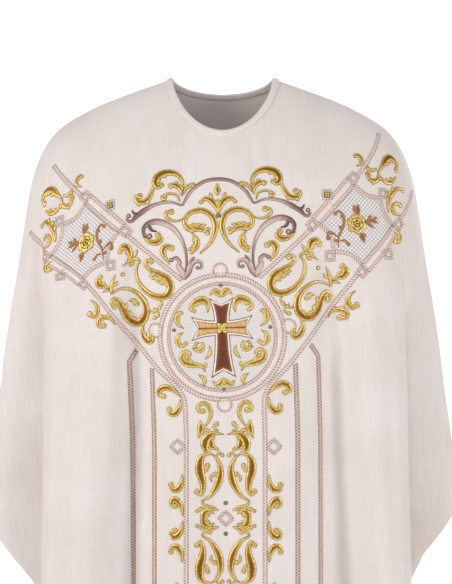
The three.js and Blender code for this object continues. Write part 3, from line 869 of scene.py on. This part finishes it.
# The medallion: two round braids with satin between them, four loops, a net and a cross

medallion = {"outer": 93.6, "satin": 86.2, "inner": 80.4, "inner width": 5.2, "net": 79.0, "satin width": 7.6}
loops = {"radius": 10.6, "width": 3.6, "slant": 35, "places": ((0, 100), (0, -101), (100, 13), (-100, 13))}

rounds = [
    (ringLine(medallion["outer"]), {}),
    (ringLine(medallion["inner"]), {"width": medallion["inner width"]}),
]
rounds += [
    (ringLine(loops["radius"], x, z, 24), {"width": loops["width"], "slant": loops["slant"]})
    for x, z in loops["places"]
]
stitchBraids("medallion_braid", [(line, {"sides": (1,), "closed": True, **look}) for line, look in rounds],
             ["medallion_ring"])
satinLine = ringLine(medallion["satin"], count=110)[:-1]
fillings = [satinStroke(satinLine, medallion["satin width"], 0.4, closed=True)]
fillings += [dome(x, z, loops["radius"] - 0.6, 0.5, around=24) for x, z in loops["places"]]
stitched("medallion_net", [netDisc(medallion["net"])], netGround)

cross = {
    "z": 13.5, "up": 45.5, "down": 74.5, "side": 46.5, "start": 4,  # its middle, and how far its arms reach
    "waist": 11.2, "flare": 18.4, "notch": 11.0,  # half widths, and how deep its ends are cut in
    "rim": 0.55, "step": 0.05, "height": 1.0, "edge": 6,  # its rim lies on the net, and it swells from there
}


# half width grows by a power of the way out; the end is notched, deepest in the middle
def crossArm(length, turn, rows=21, columns=19):
    u, t = np.meshgrid(np.linspace(-1, 1, columns), np.linspace(0, 1, rows))
    out = cross["start"] + t * (length - cross["start"] - cross["notch"] * (1 - np.abs(u)) * t ** 2)
    wide = cross["waist"] + (cross["flare"] - cross["waist"]) * t ** 2.2
    flat = np.stack([out, u * wide], -1)
    points, normals = onFront(turned(flat, turn) + [0, cross["z"]])
    inset = np.minimum((1 - np.abs(u)) * wide, (1 - t) * length * 0.6)
    swell = cross["step"] + cross["height"] * smooth(0.35 + inset / cross["edge"])
    rise = cross["rim"] + np.where(inset > 0, swell, 0)
    rise[0] = cross["rim"] + cross["step"]  # under the flower
    return stitchedPart(points + normals * rise[..., None], plateFaces(rows, columns), flat, inset, np.abs(u))


quarter = math.pi / 2
stitched("cross_upright", [crossArm(cross["up"], quarter), crossArm(cross["down"], -quarter)],
         copperSilk, ["cross_arm_top", "cross_arm_bottom"])
stitched("cross_beam", [crossArm(cross["side"], 0), crossArm(cross["side"], 2 * quarter)],
         tanSilk, ["cross_arm_right", "cross_arm_left"])


# Lozenges on the arms, each framed by rails, small squares and bars of satin

# how far out the lattice reaches at q: a rounded point on the axis
def latticeEnd(q):
    return lozenge["reach"] + lozenge["point"] * np.exp(-((q / lozenge["point width"]) ** 2))


# the lattice's place in the lozenge's axes at shares u and w
def latticeAxes(u, w):
    q = (w * 2 - 1) * lozenge["lattice"]
    return np.stack([(u * 2 - 1) * latticeEnd(q), q], -1)


def latticePlace(u, w):
    p, q = np.moveaxis(latticeAxes(u, w), -1, 0)
    return inLozenge(p, q)


# a small square frame in the lozenge's axes, its first corner at the angle start
def squareLine(p, q, size, start):
    a = np.radians(start + 90 * np.arange(5))
    return inLozenge(p + size * math.sqrt(2) * np.cos(a), q + size * math.sqrt(2) * np.sin(a))


# the point at shares u and w between four corners
def betweenCorners(corners):
    def spread(u, w):
        shares = ((1 - u) * (1 - w), u * (1 - w), u * w, (1 - u) * w)
        return sum(share[..., None] * corner for share, corner in zip(shares, corners))
    return spread


# each small square's place, and the angle of its first corner
cornerP, cornerQ = lozenge["corners"]
squares = [(p, q, 45) for p in (-cornerP, cornerP) for q in (-cornerQ, cornerQ)]
squares += [(side * lozenge["middle"], 0, 0) for side in (-1, 1)]
squares += [(0, side * lozenge["middle"], 0) for side in (-1, 1)]
frames = []
for sign in (-1, 1):
    for q, reach in lozenge["rails"]:
        ends = [inLozenge(-reach, sign * q), inLozenge(reach, sign * q)]
        frames.append((ends, {"width": lozenge["rail width"]}))
    across = np.linspace(-lozenge["end reach"], lozenge["end reach"], 34)
    frames.append((inLozenge(sign * (latticeEnd(across) + 4), across), {"width": lozenge["end width"]}))
small = {"width": lozenge["square width"], "closed": True, "slant": 24}
frames += [(squareLine(p, q, lozenge["square"], start), small) for p, q, start in squares]
stitchBraids("lozenge_braid", frames, ["lozenge_frame_right", "lozenge_frame_left"])

lattices = []
lozengeFillings = []
for side in (1, -1):
    for p, q, start in squares:
        corners = squareLine(p, q, lozenge["filling"], start)
        lozengeFillings.append(patch(betweenCorners(corners), 5, 0.7, 1.5, side))
    reach, wide = lozenge["bar"]
    barP, barQ = lozenge["bars"]
    for p, q in [(p, q) for p in (-barP, barP) for q in (-barQ, barQ)]:
        line = evenLine([inLozenge(p - reach / 2, q), inLozenge(p + reach / 2, q)], 3)
        lozengeFillings.append(satinStroke(flipped(line, side), wide, 0.8))
    lattices.append(patch(latticePlace, 30, 0.35, 1.0, side, latticeAxes))
stitched("lozenge_lattice", lattices, latticeWhite)
print("braids and grounds stitched")


# Diamonds on the column's cords and in its middle

diamond = {
    "places": ((72, -164), (0, -271)),  # x, and the first z
    "corner": 11.0, "filling": 7.4, "height": 1.2, "width": 5.0, "slant": 24,
}


# the heights of what lies at z, in each repeat of the column's pattern and turned over in it
def columnHeights(z):
    both = sorted({z, column["turn"] - z}, reverse=True)
    heights = [each - k * column["repeat"] for k in range(column["repeats"]) for each in both]
    return [height for height in heights if height >= column["last"]]


diamonds = []
for x, first in diamond["places"]:
    sides = (1, -1) if x else (1,)
    for z in columnHeights(first):
        look = {"sides": sides, "width": diamond["width"], "closed": True, "slant": diamond["slant"]}
        diamonds.append((ringLine(diamond["corner"], x, z, 4), look))
        fillings += [dome(x * side, z, diamond["filling"], diamond["height"], around=4) for side in sides]
stitchBraids("diamond", diamonds)
stitched("satin_fillings", fillings + lozengeFillings, pinkSatin)


# Gold scrolls, each drawn for the right half and mirrored
# points, widths (start, most, end), place of the most, end knot, and some with lobes:
# from share, to share, count, side, length

shellScrolls = [
    ([(30, 126), (15, 140), (7, 155), (5, 169), (11, 184), (26, 192), (43, 188), (51, 177), (49, 166),
      (41, 161), (32, 163)],
     (2.4, 8.4, 5), 0.42, 0),
    ([(47, 170), (38, 165), (27, 163), (17, 157)], (3, 8.4, 3.3), 0.5, 3, (0.15, 0.85, 4, -1, 8)),
    ([(41, 158), (34, 149), (34, 138), (44, 126)], (2, 7.8, 3.9), 0.55, 0, (0.2, 0.8, 3, 1, 7)),
    ([(51, 181), (61, 177), (71, 178), (79, 184), (78, 191), (71, 191)], (2, 5.2, 3.9), 0.7, 4),
    ([(53, 222), (53, 237), (62, 249), (76, 252), (90, 247), (95, 237), (91, 230), (85, 233)],
     (2.4, 11, 6.6), 0.7, 3.4, (0.55, 0.85, 3, -1, 7)),
    ([(96, 240), (99, 226), (105, 213), (114, 207), (123, 209), (125, 216), (119, 217)],
     (2, 8.4, 4.4), 0.6, 4, (0.5, 0.7, 2, -1, 5)),
    ([(52, 217), (48, 226), (42, 231), (37, 231)], (2, 5.9, 3.9), 0.7, 3.6),
    ([(54, 214), (57, 226), (64, 232), (71, 231)], (2, 8.4, 5), 0.7, 3.8, (0.4, 0.7, 2, 1, 5)),
    ([(58, 206), (61, 215), (69, 219), (78, 218), (82, 213)], (2, 3.8, 4.4), 0.5, 4.4),
    ([(0, 186), (4, 198), (11, 207), (20, 209), (26, 204)], (3, 9.1, 4.4), 0.5, 2.6, (0.3, 0.6, 2, 1, 8)),
    ([(0, 213), (0, 222), (0, 233)], (1, 9.1, 1.1), 0.4, 0),
    ([(116, 155), (106, 147), (95, 145), (88, 150), (92, 156)], (1.4, 9.1, 5.5), 0.6, 4),
    ([(75, 111), (83, 123), (85, 133), (79, 139), (72, 136)], (1.4, 9.1, 5.5), 0.65, 4),
]
armScrolls = [
    ([(120, 119), (126, 110), (127, 97), (122, 83), (110, 70), (95, 63), (81, 65), (75, 77), (80, 90),
      (93, 98), (105, 104), (112, 112), (110, 119), (104, 117)],
     (3, 10.6, 3.7), 0.62, 4, (0.6, 0.8, 4, -1, 9)),
    ([(104, 90), (94, 91), (85, 85)], (1.5, 5.6, 3.7), 0.6, 3, (0.3, 0.8, 2, 1, 5)),
    ([(120, 119), (130, 122), (138, 118), (148, 111)], (3, 5.6, 1.5), 0.4, 0, (0.4, 0.5, 1, -1, 8)),
    ([(139, 118), (136, 128), (139, 138), (147, 141), (151, 135)],
     (3, 10.1, 5.3), 0.6, 4, (0.3, 0.6, 2, -1, 6)),
    ([(132, 121), (127, 130), (124, 136)], (1.5, 4.5, 1.3), 0.5, 0),
    ([(93, 60), (89, 53), (93, 47)], (1.5, 3.4, 2.8), 0.6, 2.8),
    ([(103, 47), (96, 42), (95, 35), (101, 32)], (1.5, 3.4, 2.8), 0.6, 2.8),
    ([(169, 70), (155, 77), (140, 77), (125, 68), (115, 54), (114, 38), (122, 27), (134, 26),
      (144, 35), (150, 48), (157, 60), (164, 62), (168, 56), (163, 51)],
     (2.6, 12.3, 3.7), 0.7, 4, (0.5, 0.78, 4, 1, 9)),
    ([(141, 58), (133, 60), (128, 54)], (1.5, 5.6, 3.2), 0.6, 3, (0.3, 0.7, 2, 1, 5)),
    ([(168, 71), (167, 82), (164, 92), (160, 101)], (3, 5.6, 1.5), 0.4, 0, (0.4, 0.5, 1, 1, 8)),
    ([(170, 79), (178, 84), (187, 86), (191, 94), (186, 100)],
     (2.4, 10.1, 5.3), 0.6, 4, (0.3, 0.6, 2, 1, 6)),
    ([(168, 77), (176, 77), (183, 74)], (1.5, 4.5, 1.3), 0.5, 0),
    ([(117, 27), (121, 16), (120, 6), (113, -3), (106, -2), (106, 5)],
     (2.2, 9, 5.3), 0.65, 4, (0.4, 0.6, 2, -1, 5)),
    ([(110, 45), (104, 40), (99, 43)], (1.5, 3.4, 2.5), 0.6, 2.6),
    ([(204, 63), (195, 56), (192, 46), (198, 37), (205, 41)], (1.4, 7.8, 5.3), 0.6, 4),
    ([(162, 23), (170, 33), (181, 35), (190, 30), (188, 22), (181, 23)],
     (1.4, 7.8, 5.3), 0.6, 4, (0.3, 0.5, 2, 1, 5)),
    ([(257, 243), (267, 252), (279, 263), (292, 266), (302, 256), (296, 246)],
     (2.6, 11.2, 5.3), 0.45, 4, (0.3, 0.6, 3, -1, 8)),
    ([(256, 250), (248, 246), (240, 250)], (2, 5.6, 4.2), 0.6, 3.6),
    ([(257, 246), (257, 236), (250, 230), (240, 232), (238, 240)],
     (2, 7.8, 5.3), 0.5, 4.4, (0.3, 0.6, 2, 1, 5)),
    ([(260, 236), (267, 228), (279, 227), (293, 235)], (2.4, 7.8, 2.1), 0.5, 0, (0.3, 0.6, 2, 1, 6)),
    ([(268, 180), (270, 195), (278, 209), (291, 217), (303, 214)],
     (4, 9, 4.2), 0.45, 3.6, (0.3, 0.6, 3, 1, 6)),
    ([(290, 176), (281, 178), (278, 187), (284, 194), (292, 191)], (3, 7.3, 4.2), 0.5, 3.6),
    ([(219, 268), (227, 270), (232, 263), (228, 256), (220, 253)], (5, 7.8, 1.5), 0.3, 0),
    ([(271, 150), (279, 150), (287, 144), (285, 135), (278, 136)], (1.6, 7.8, 5.3), 0.6, 4),
]
medallionScrolls = [
    ([(21, 36), (20, 48), (26, 56), (35, 55), (43, 50), (46, 43), (41, 40)],
     (1.4, 12.1, 4.2), 0.45, 3, (0.35, 0.6, 2, -1, 6)),
    ([(57, 37), (62, 38), (67, 32), (66, 22), (57, 14)], (4, 8.7, 1.5), 0.4, 0),
    ([(58, 9), (66, 3), (67, -6), (61, -12), (55, -8)], (1.4, 8.7, 4.2), 0.5, 3),
    ([(20, -12), (19, -23), (27, -33)], (1.4, 5.8, 1.4), 0.5, 0),
    ([(31, -6), (30, -14), (36, -19), (46, -15)], (3, 8.7, 1.7), 0.5, 0),
    ([(34, -8), (40, -8), (41, -13)], (1.6, 4, 3.2), 0.6, 2.8),
    ([(26, -52), (33, -43), (46, -40), (58, -36), (62, -27), (56, -20), (49, -24), (54, -29)],
     (1.8, 10.8, 3.8), 0.4, 3, (0.1, 0.35, 2, 1, 7)),
    ([(38, -55), (29, -62), (31, -74)], (1.4, 7, 1.4), 0.5, 0),
    ([(0, 60), (5, 67), (11, 69), (17, 63)], (6, 10.1, 1.5), 0.4, 0),
    ([(0, -62), (5, -69), (11, -71), (17, -65)], (6, 10.1, 1.5), 0.4, 0),
]
columnScrolls = [
    ([(35, -138), (25, -126), (21, -113), (25, -102), (33, -98), (40, -104), (38, -111), (33, -110)],
     (1.8, 6.4, 4.2), 0.6, 3.6),
    ([(37, -124), (37, -137), (41, -152)], (1.2, 9.8, 1.5), 0.4, 0, (0.3, 0.6, 2, -1, 5)),
    ([(10, -140), (15, -138), (17, -133), (13, -130)], (2, 4.6, 3.2), 0.6, 3.2),
    ([(20, -143), (28, -139), (34, -142)], (2, 5.2, 2.2), 0.5, 0),
    ([(2, -146), (13, -144), (24, -147), (31, -157), (30, -168), (21, -176)], (1.6, 12, 3.2), 0.6, 0),
    ([(17, -149), (22, -155), (21, -163), (13, -168)], (3, 10.4, 4), 0.5, 2.4),
    ([(20, -175), (31, -176), (38, -184), (39, -199), (35, -214), (34, -227), (38, -236), (43, -231)],
     (2, 12.8, 3.7), 0.42, 3.6),
    ([(21, -175), (13, -182), (8, -195), (9, -211), (15, -226), (24, -238), (36, -245)],
     (2, 10.2, 2.4), 0.5, 0),
    ([(36, -244), (32, -251), (23, -255), (10, -259)], (2.4, 6.8, 1.5), 0.65, 0, (0.4, 0.6, 1, 1, 6)),
    ([(14, -186), (14, -178), (9, -173), (5, -177)], (1.4, 3.2, 2.4), 0.6, 2.6),
    ([(21, -217), (22, -209), (16, -205)], (1.6, 4.2, 3.2), 0.6, 3.2),
    ([(34, -203), (29, -199), (27, -192)], (1.6, 5.2, 3.5), 0.6, 3.2),
    ([(17, -264), (25, -260), (32, -263), (33, -271), (27, -277)], (1.8, 9.6, 4.2), 0.55, 3.4),
    ([(31, -258), (37, -257), (43, -260)], (1.4, 5.8, 3.2), 0.5, 2.4),
]

cordCommas = [(points, (1.4, 9.4, 5), 0.6, 3.6) for points in (
    [(64, -89), (73, -80), (85, -73), (95, -75), (98, -83), (91, -86)],
    [(66, -91), (68, -104), (75, -113), (82, -112), (83, -106)],
    [(65, -205), (66, -218), (72, -228), (80, -228), (82, -221)],
    [(64, -268), (66, -256), (71, -246), (78, -243), (81, -250), (76, -253)],
)]
scroll = {
    "fuller": 1.09, "knot": 1.25,  # strokes and knots are worked this much fuller than they are drawn
    "height": 1.7, "knot height": 1.2, "lobe width": 5.2, "lobe height": 1.5,
}


# each scroll as a crowned stroke with its end knot and its leaf's lobes, on both halves of the drawing;
# turnOver is -1 for a scroll that is turned over, and drop moves it down
def scrollParts(rows, turnOver=1, drop=0.0):
    parts = []
    for points, (first, most, last), peak, knot, *lobes in rows:
        centre = curve(points) * [1, turnOver] - [0, drop]
        lines = [(centre, easedWidths(centre, (first, last), peak, most), scroll["height"])]
        run, side = lineSides(centre)
        for start, end, count, hand, length in lobes:
            for k in range(count):
                i = int((start + (end - start) * k / max(1, count - 1)) * (len(centre) - 1))
                out = side[i] * hand
                reach = length * (1.3 - 0.14 * abs(k - (count - 1) / 2))
                lobe = curve([centre[i], centre[i] + out * reach * 0.6 + run[i] * reach * 0.35,
                              centre[i] + out * reach * 0.85 + run[i] * reach * 0.85], 1.2)
                widths = easedWidths(lobe, (2.5, 2), 0.6, scroll["lobe width"])
                lines.append((lobe, widths, scroll["lobe height"]))
        for mirror in (1, -1) if centre[:, 0].any() else (1,):  # a stroke on the middle line is worked once
            parts += [satinStroke(flipped(line, mirror), scroll["fuller"] * widths, height)
                      for line, widths, height in lines]
            if knot:
                x, z = flipped(centre[-1], mirror)
                parts.append(dome(x, z, knot * scroll["knot"], scroll["knot height"]))
    return parts


stitched("gold_shell", scrollParts(shellScrolls), goldThread)
stitched("gold_arms", scrollParts(armScrolls), goldThread)
stitched("gold_medallion", scrollParts(medallionScrolls), brightGold)

flower = {
    "out": 5.2, "petal": 4.4, "petal height": 1.4, "stretch": 1.35,
    "middle": 3.0, "middle height": 2.4, "lift": 1.8,
}
petals = [dome(0, cross["z"], flower["middle"], flower["middle height"], flower["lift"])]
for angle in math.pi / 4 + quarter * np.arange(4):
    x, z = flower["out"] * math.cos(angle), cross["z"] + flower["out"] * math.sin(angle)
    petals.append(dome(x, z, flower["petal"], flower["petal height"], flower["lift"],
                       stretch=flower["stretch"], turn=angle))
stitched("cross_flower", petals, goldThread)

columnParts = []
for repeat in range(column["repeats"]):
    for turnOver in (1, -1):
        drop = repeat * column["repeat"] - (column["turn"] if turnOver < 0 else 0)
        commas = cordCommas[2:] if repeat and turnOver > 0 else cordCommas  # two of them are the top's alone
        rows = [row for row in columnScrolls + commas
                if min(turnOver * z for _, z in row[0]) - drop >= column["end"] + column["clear"]]
        columnParts += scrollParts(rows, turnOver, drop)
stitched("gold_column", columnParts, goldThread)

# x, z and radius: round the cross, under the shell, and above and below the column's middle diamonds
dots = [(0, 77.5, 3.6), (0, -78, 3.6), (72, 12.5, 3.4), (-72, 12.5, 3.4), (0, 183, 4)]
dots += [(0, z, 3.6) for z in columnHeights(-248)]
stitched("olive_dots", [dome(x, z, radius, 1.2) for x, z, radius in dots], oliveSilk)
print("gold stitched")


# Taupe shell: arch, two C scrolls and their tulip feet

taupe = {"height": 1.3, "knot height": 1.5, "tilt": 0.35, "arch tilt": 0.4, "end": 1.2, "taper": 3.2}
# points, widths along the stroke, shades along it from pale (0) to dark (1), end knot
taupeStrokes = [
    ([(54, 200), (74, 206), (98, 202), (119, 190), (131, 180)],
     (3, 4.5, 6, 8.5, 6), (0.6, 0.2, 0.3, 0.75, 0.8), 0),
    ([(118, 190), (127, 190), (131, 196)], (5, 5, 2), (1, 0.9), 0),
    ([(127, 182), (134, 178), (139, 182), (136, 187)], (5, 5, 3.4), (0.7, 0.4), 3.6),
    ([(52, 98), (50, 114), (51, 130), (56, 147), (66, 163), (80, 173), (94, 177), (107, 174),
      (114, 166), (112, 156), (105, 155)],
     (3, 3.4, 4, 5, 6.5, 8.5, 9.5, 9.5, 8, 6, 4), (0.8, 0.7, 0.5, 0.1, 0, 0.1, 0.3, 0.7, 0.9, 0.7), 4.6),
    ([(106, 172), (101, 164), (93, 162)], (6, 5, 2), (0.9, 0.9), 0),
    ([(54, 88), (57, 99), (62, 108), (61, 115), (66, 121), (73, 118)],
     (3, 9, 9.5, 7, 6, 4), (0.1, 0, 0.3, 0.5), 3.4),
    ([(54, 88), (48, 99), (44, 109), (36, 115), (28, 112), (29, 104), (34, 105)],
     (3, 9, 10.5, 8, 6, 4, 3), (0.5, 0.2, 0.1, 0.5), 3),
    ([(43, 107), (43, 115), (38, 122)], (6, 6, 2), (0.5, 0.6), 0),
]
arch = curve([(-54, 200), (-41, 221), (-22, 235), (0, 239), (22, 235), (41, 221), (54, 200)], 2)
archWidths = np.interp(np.linspace(0, 1, len(arch)), (0, 0.15, 0.85, 1), (3, 5.8, 5.8, 3))
archShade = (0.4, 0.3, 0.55, 0.65, 0.6, 0.4, 0.6)
taupeParts = [satinStroke(arch, archWidths, taupe["height"], shade=archShade, tilt=taupe["arch tilt"])]
for points, widths, shade, knot in taupeStrokes:
    centre = curve(points, 2)
    along = np.linspace(0, 1, len(centre))
    eased = np.interp(along, np.linspace(0, 1, len(widths)), widths)
    eased = np.minimum(eased, taupe["end"] + taupe["taper"] * np.minimum(along, 1 - along) * len(centre))
    for side in (1, -1):
        line = flipped(centre, side)
        taupeParts.append(satinStroke(line, eased, taupe["height"], shade=shade, tilt=taupe["tilt"] * side))
        if knot:
            taupeParts.append(dome(*line[-1], knot, taupe["knot height"]))
stitched("taupe_shell", taupeParts, taupeSatin,
         ["arch_stem", "shell_scroll_right", "shell_scroll_left"])


# Roses in the lozenges

rose = {"place": (-2, -3), "lift": 0.7, "star": (2.4, 2.8, 2.2), "bud": (148, 99, 3.4)}
# petals from outside in: count, distance out, length, width, height over the ground
petalRings = [(6, 12.2, 15.5, 8.4, 1.5), (5, 7.2, 11.5, 6.4, 2.4), (3, 2.8, 7.0, 5.0, 3.2)]
leafStrokes = [
    ([(214, 176), (214, 185), (215, 194)], (3, 8, 1.4), 0.5, 0, (0.3, 0.5, 2, 1, 7)),
    ([(222, 168), (234, 168), (247, 164)], (2.4, 6.5, 1.4), 0.6, 0, (0.3, 0.6, 2, 1, 7)),
    ([(224, 166), (233, 161), (239, 156)], (2, 5, 1.4), 0.6, 0),
    ([(215, 152), (218, 143), (222, 134)], (2.4, 8, 1.4), 0.5, 0, (0.3, 0.5, 1, 1, 6)),
    ([(180, 128), (182, 146), (189, 160), (191, 175), (184, 184), (178, 180)],
     (1.6, 4.2, 3.4), 0.5, 3, (0.15, 0.7, 3, 1, 5)),
    ([(182, 142), (174, 150), (166, 152), (166, 144)], (1.6, 4, 3.4), 0.6, 3.4),
    ([(182, 138), (190, 139), (196, 133)], (1.6, 4, 3.4), 0.6, 3),
]
roseParts = []
for count, out, length, wide, height in petalRings:
    for k in range(count):
        angle = 2 * math.pi * k / count + out  # each ring starts at an angle of its own
        outward = np.array([math.cos(angle), math.sin(angle)])
        middle = inLozenge(*rose["place"]) + out * outward
        along = outward[::-1] * [-1, 1] * length / 2
        inward = outward * -0.22 * length
        petal = curve([middle - along + inward, middle, middle + along + inward], 1.2)
        widths = easedWidths(petal, (2, 2), 0.5, wide)
        roseParts += [satinStroke(flipped(petal, side), widths, height, rose["lift"]) for side in (1, -1)]
starX, starZ = inLozenge(0, -lozenge["middle"])
starOut, starRadius, starHeight = rose["star"]
budX, budZ, budRadius = rose["bud"]
for side in (1, -1):
    for angle in math.pi / 4 + quarter * np.arange(4):
        x, z = starX + starOut * math.cos(angle), starZ + starOut * math.sin(angle)
        roseParts.append(dome(side * x, z, starRadius, starHeight))
    roseParts.append(dome(side * budX, budZ, budRadius, 1.2))
stitched("rose_petals", roseParts, brightGold)
stitched("rose_leaves", scrollParts(leafStrokes), brownSilk)
print("shell and roses stitched")


# Floor, lights and camera

# the floor from front to back, y and z
floorProfile = [
    (-7000, -1500), (2600, -1500), (3200, -1440), (3700, -1200), (3950, -700), (4000, 0), (4000, 5000),
]


# a pale floor that curves up into a wall well behind the garment; its faces look up and forwards
def backdrop():
    across = np.linspace(-6000, 6000, 9)
    verts = [(x / 1000, y / 1000, z / 1000) for y, z in floorProfile for x in across]
    mesh = bpy.data.meshes.new("floor")
    mesh.from_pydata(verts, [], gridFaces(len(floorProfile), len(across))[:, ::-1].tolist())
    mesh.polygons.foreach_set("use_smooth", np.ones(len(mesh.polygons), bool))
    # matt paper, clear from its reverse so that the garment's back can be looked at
    material, tree, shader = newMaterial("pale paper", {"Roughness": 0.9, "Base Color": hexColour("#F4F4F4")})
    reverse = addNode(tree, "ShaderNodeNewGeometry", output="Backfacing")
    clear = addNode(tree, "ShaderNodeBsdfTransparent")
    paper = addNode(tree, "ShaderNodeMixShader", links={0: reverse, 1: shader.outputs[0], 2: clear})
    tree.links.new(paper, tree.nodes["Material Output"].inputs["Surface"])
    mesh.materials.append(material)
    return linkObject("floor", mesh)


backdrop()

chest = (0, 0, -400)
lights = [
    # name, place, what it aims at, size in m, power, colour
    ("left", (-2450, -1850, 700), chest, (1.2, 1.8), 52, "#FFFBF8"),
    ("right", (2500, -1850, 250), chest, (1.2, 1.8), 37, "#FFFBFA"),
    ("front", (-400, -3200, 300), chest, (1.0, 1.0), 12, "#FFFFFF"),
    ("back", (2200, 2300, 1000), chest, (2.0, 2.0), 30, "#FFFFFF"),
    ("wall", (0, 1800, 1500), (0, 4000, 300), (4.0, 1.5), 120, "#FFFFFF"),
]
for name, place, target, size, power, colour in lights:
    lamp = bpy.data.lights.new(name, "AREA")
    lamp.shape = "RECTANGLE"
    lamp.size, lamp.size_y = size
    lamp.energy = power
    lamp.color = hexColour(colour)[:3]
    holder = linkObject(name, lamp)
    holder.location = np.array(place) / 1000
    aim = np.array(target) - np.array(place)
    pitch = math.acos(-aim[2] / np.linalg.norm(aim))
    holder.rotation_euler = (pitch, 0, math.atan2(aim[1], aim[0]) - math.pi / 2)

world = bpy.data.worlds.new("studio")
world.use_nodes = True
sky = world.node_tree.nodes["Background"]
sky.inputs["Color"].default_value = hexColour("#F6F5F4")
sky.inputs["Strength"].default_value = 0.3
bpy.context.scene.world = world
bpy.context.scene.view_settings.view_transform = "Standard"

# the camera stands so far before the plane in which so many mm are shown, and looks level at x and z
view = {"distance": 2600, "plane": -143, "x": 5.4, "z": -337.5, "shown": 876}
cameraData = bpy.data.cameras.new("camera")
cameraData.lens = 36 * view["distance"] / view["shown"]
cameraData.clip_end = 50
camera = linkObject("camera", cameraData)
camera.location = np.array([view["x"], view["plane"] - view["distance"], view["z"]]) / 1000
camera.rotation_euler = (math.pi / 2, 0, 0)
bpy.context.scene.camera = camera

print("scene ready")
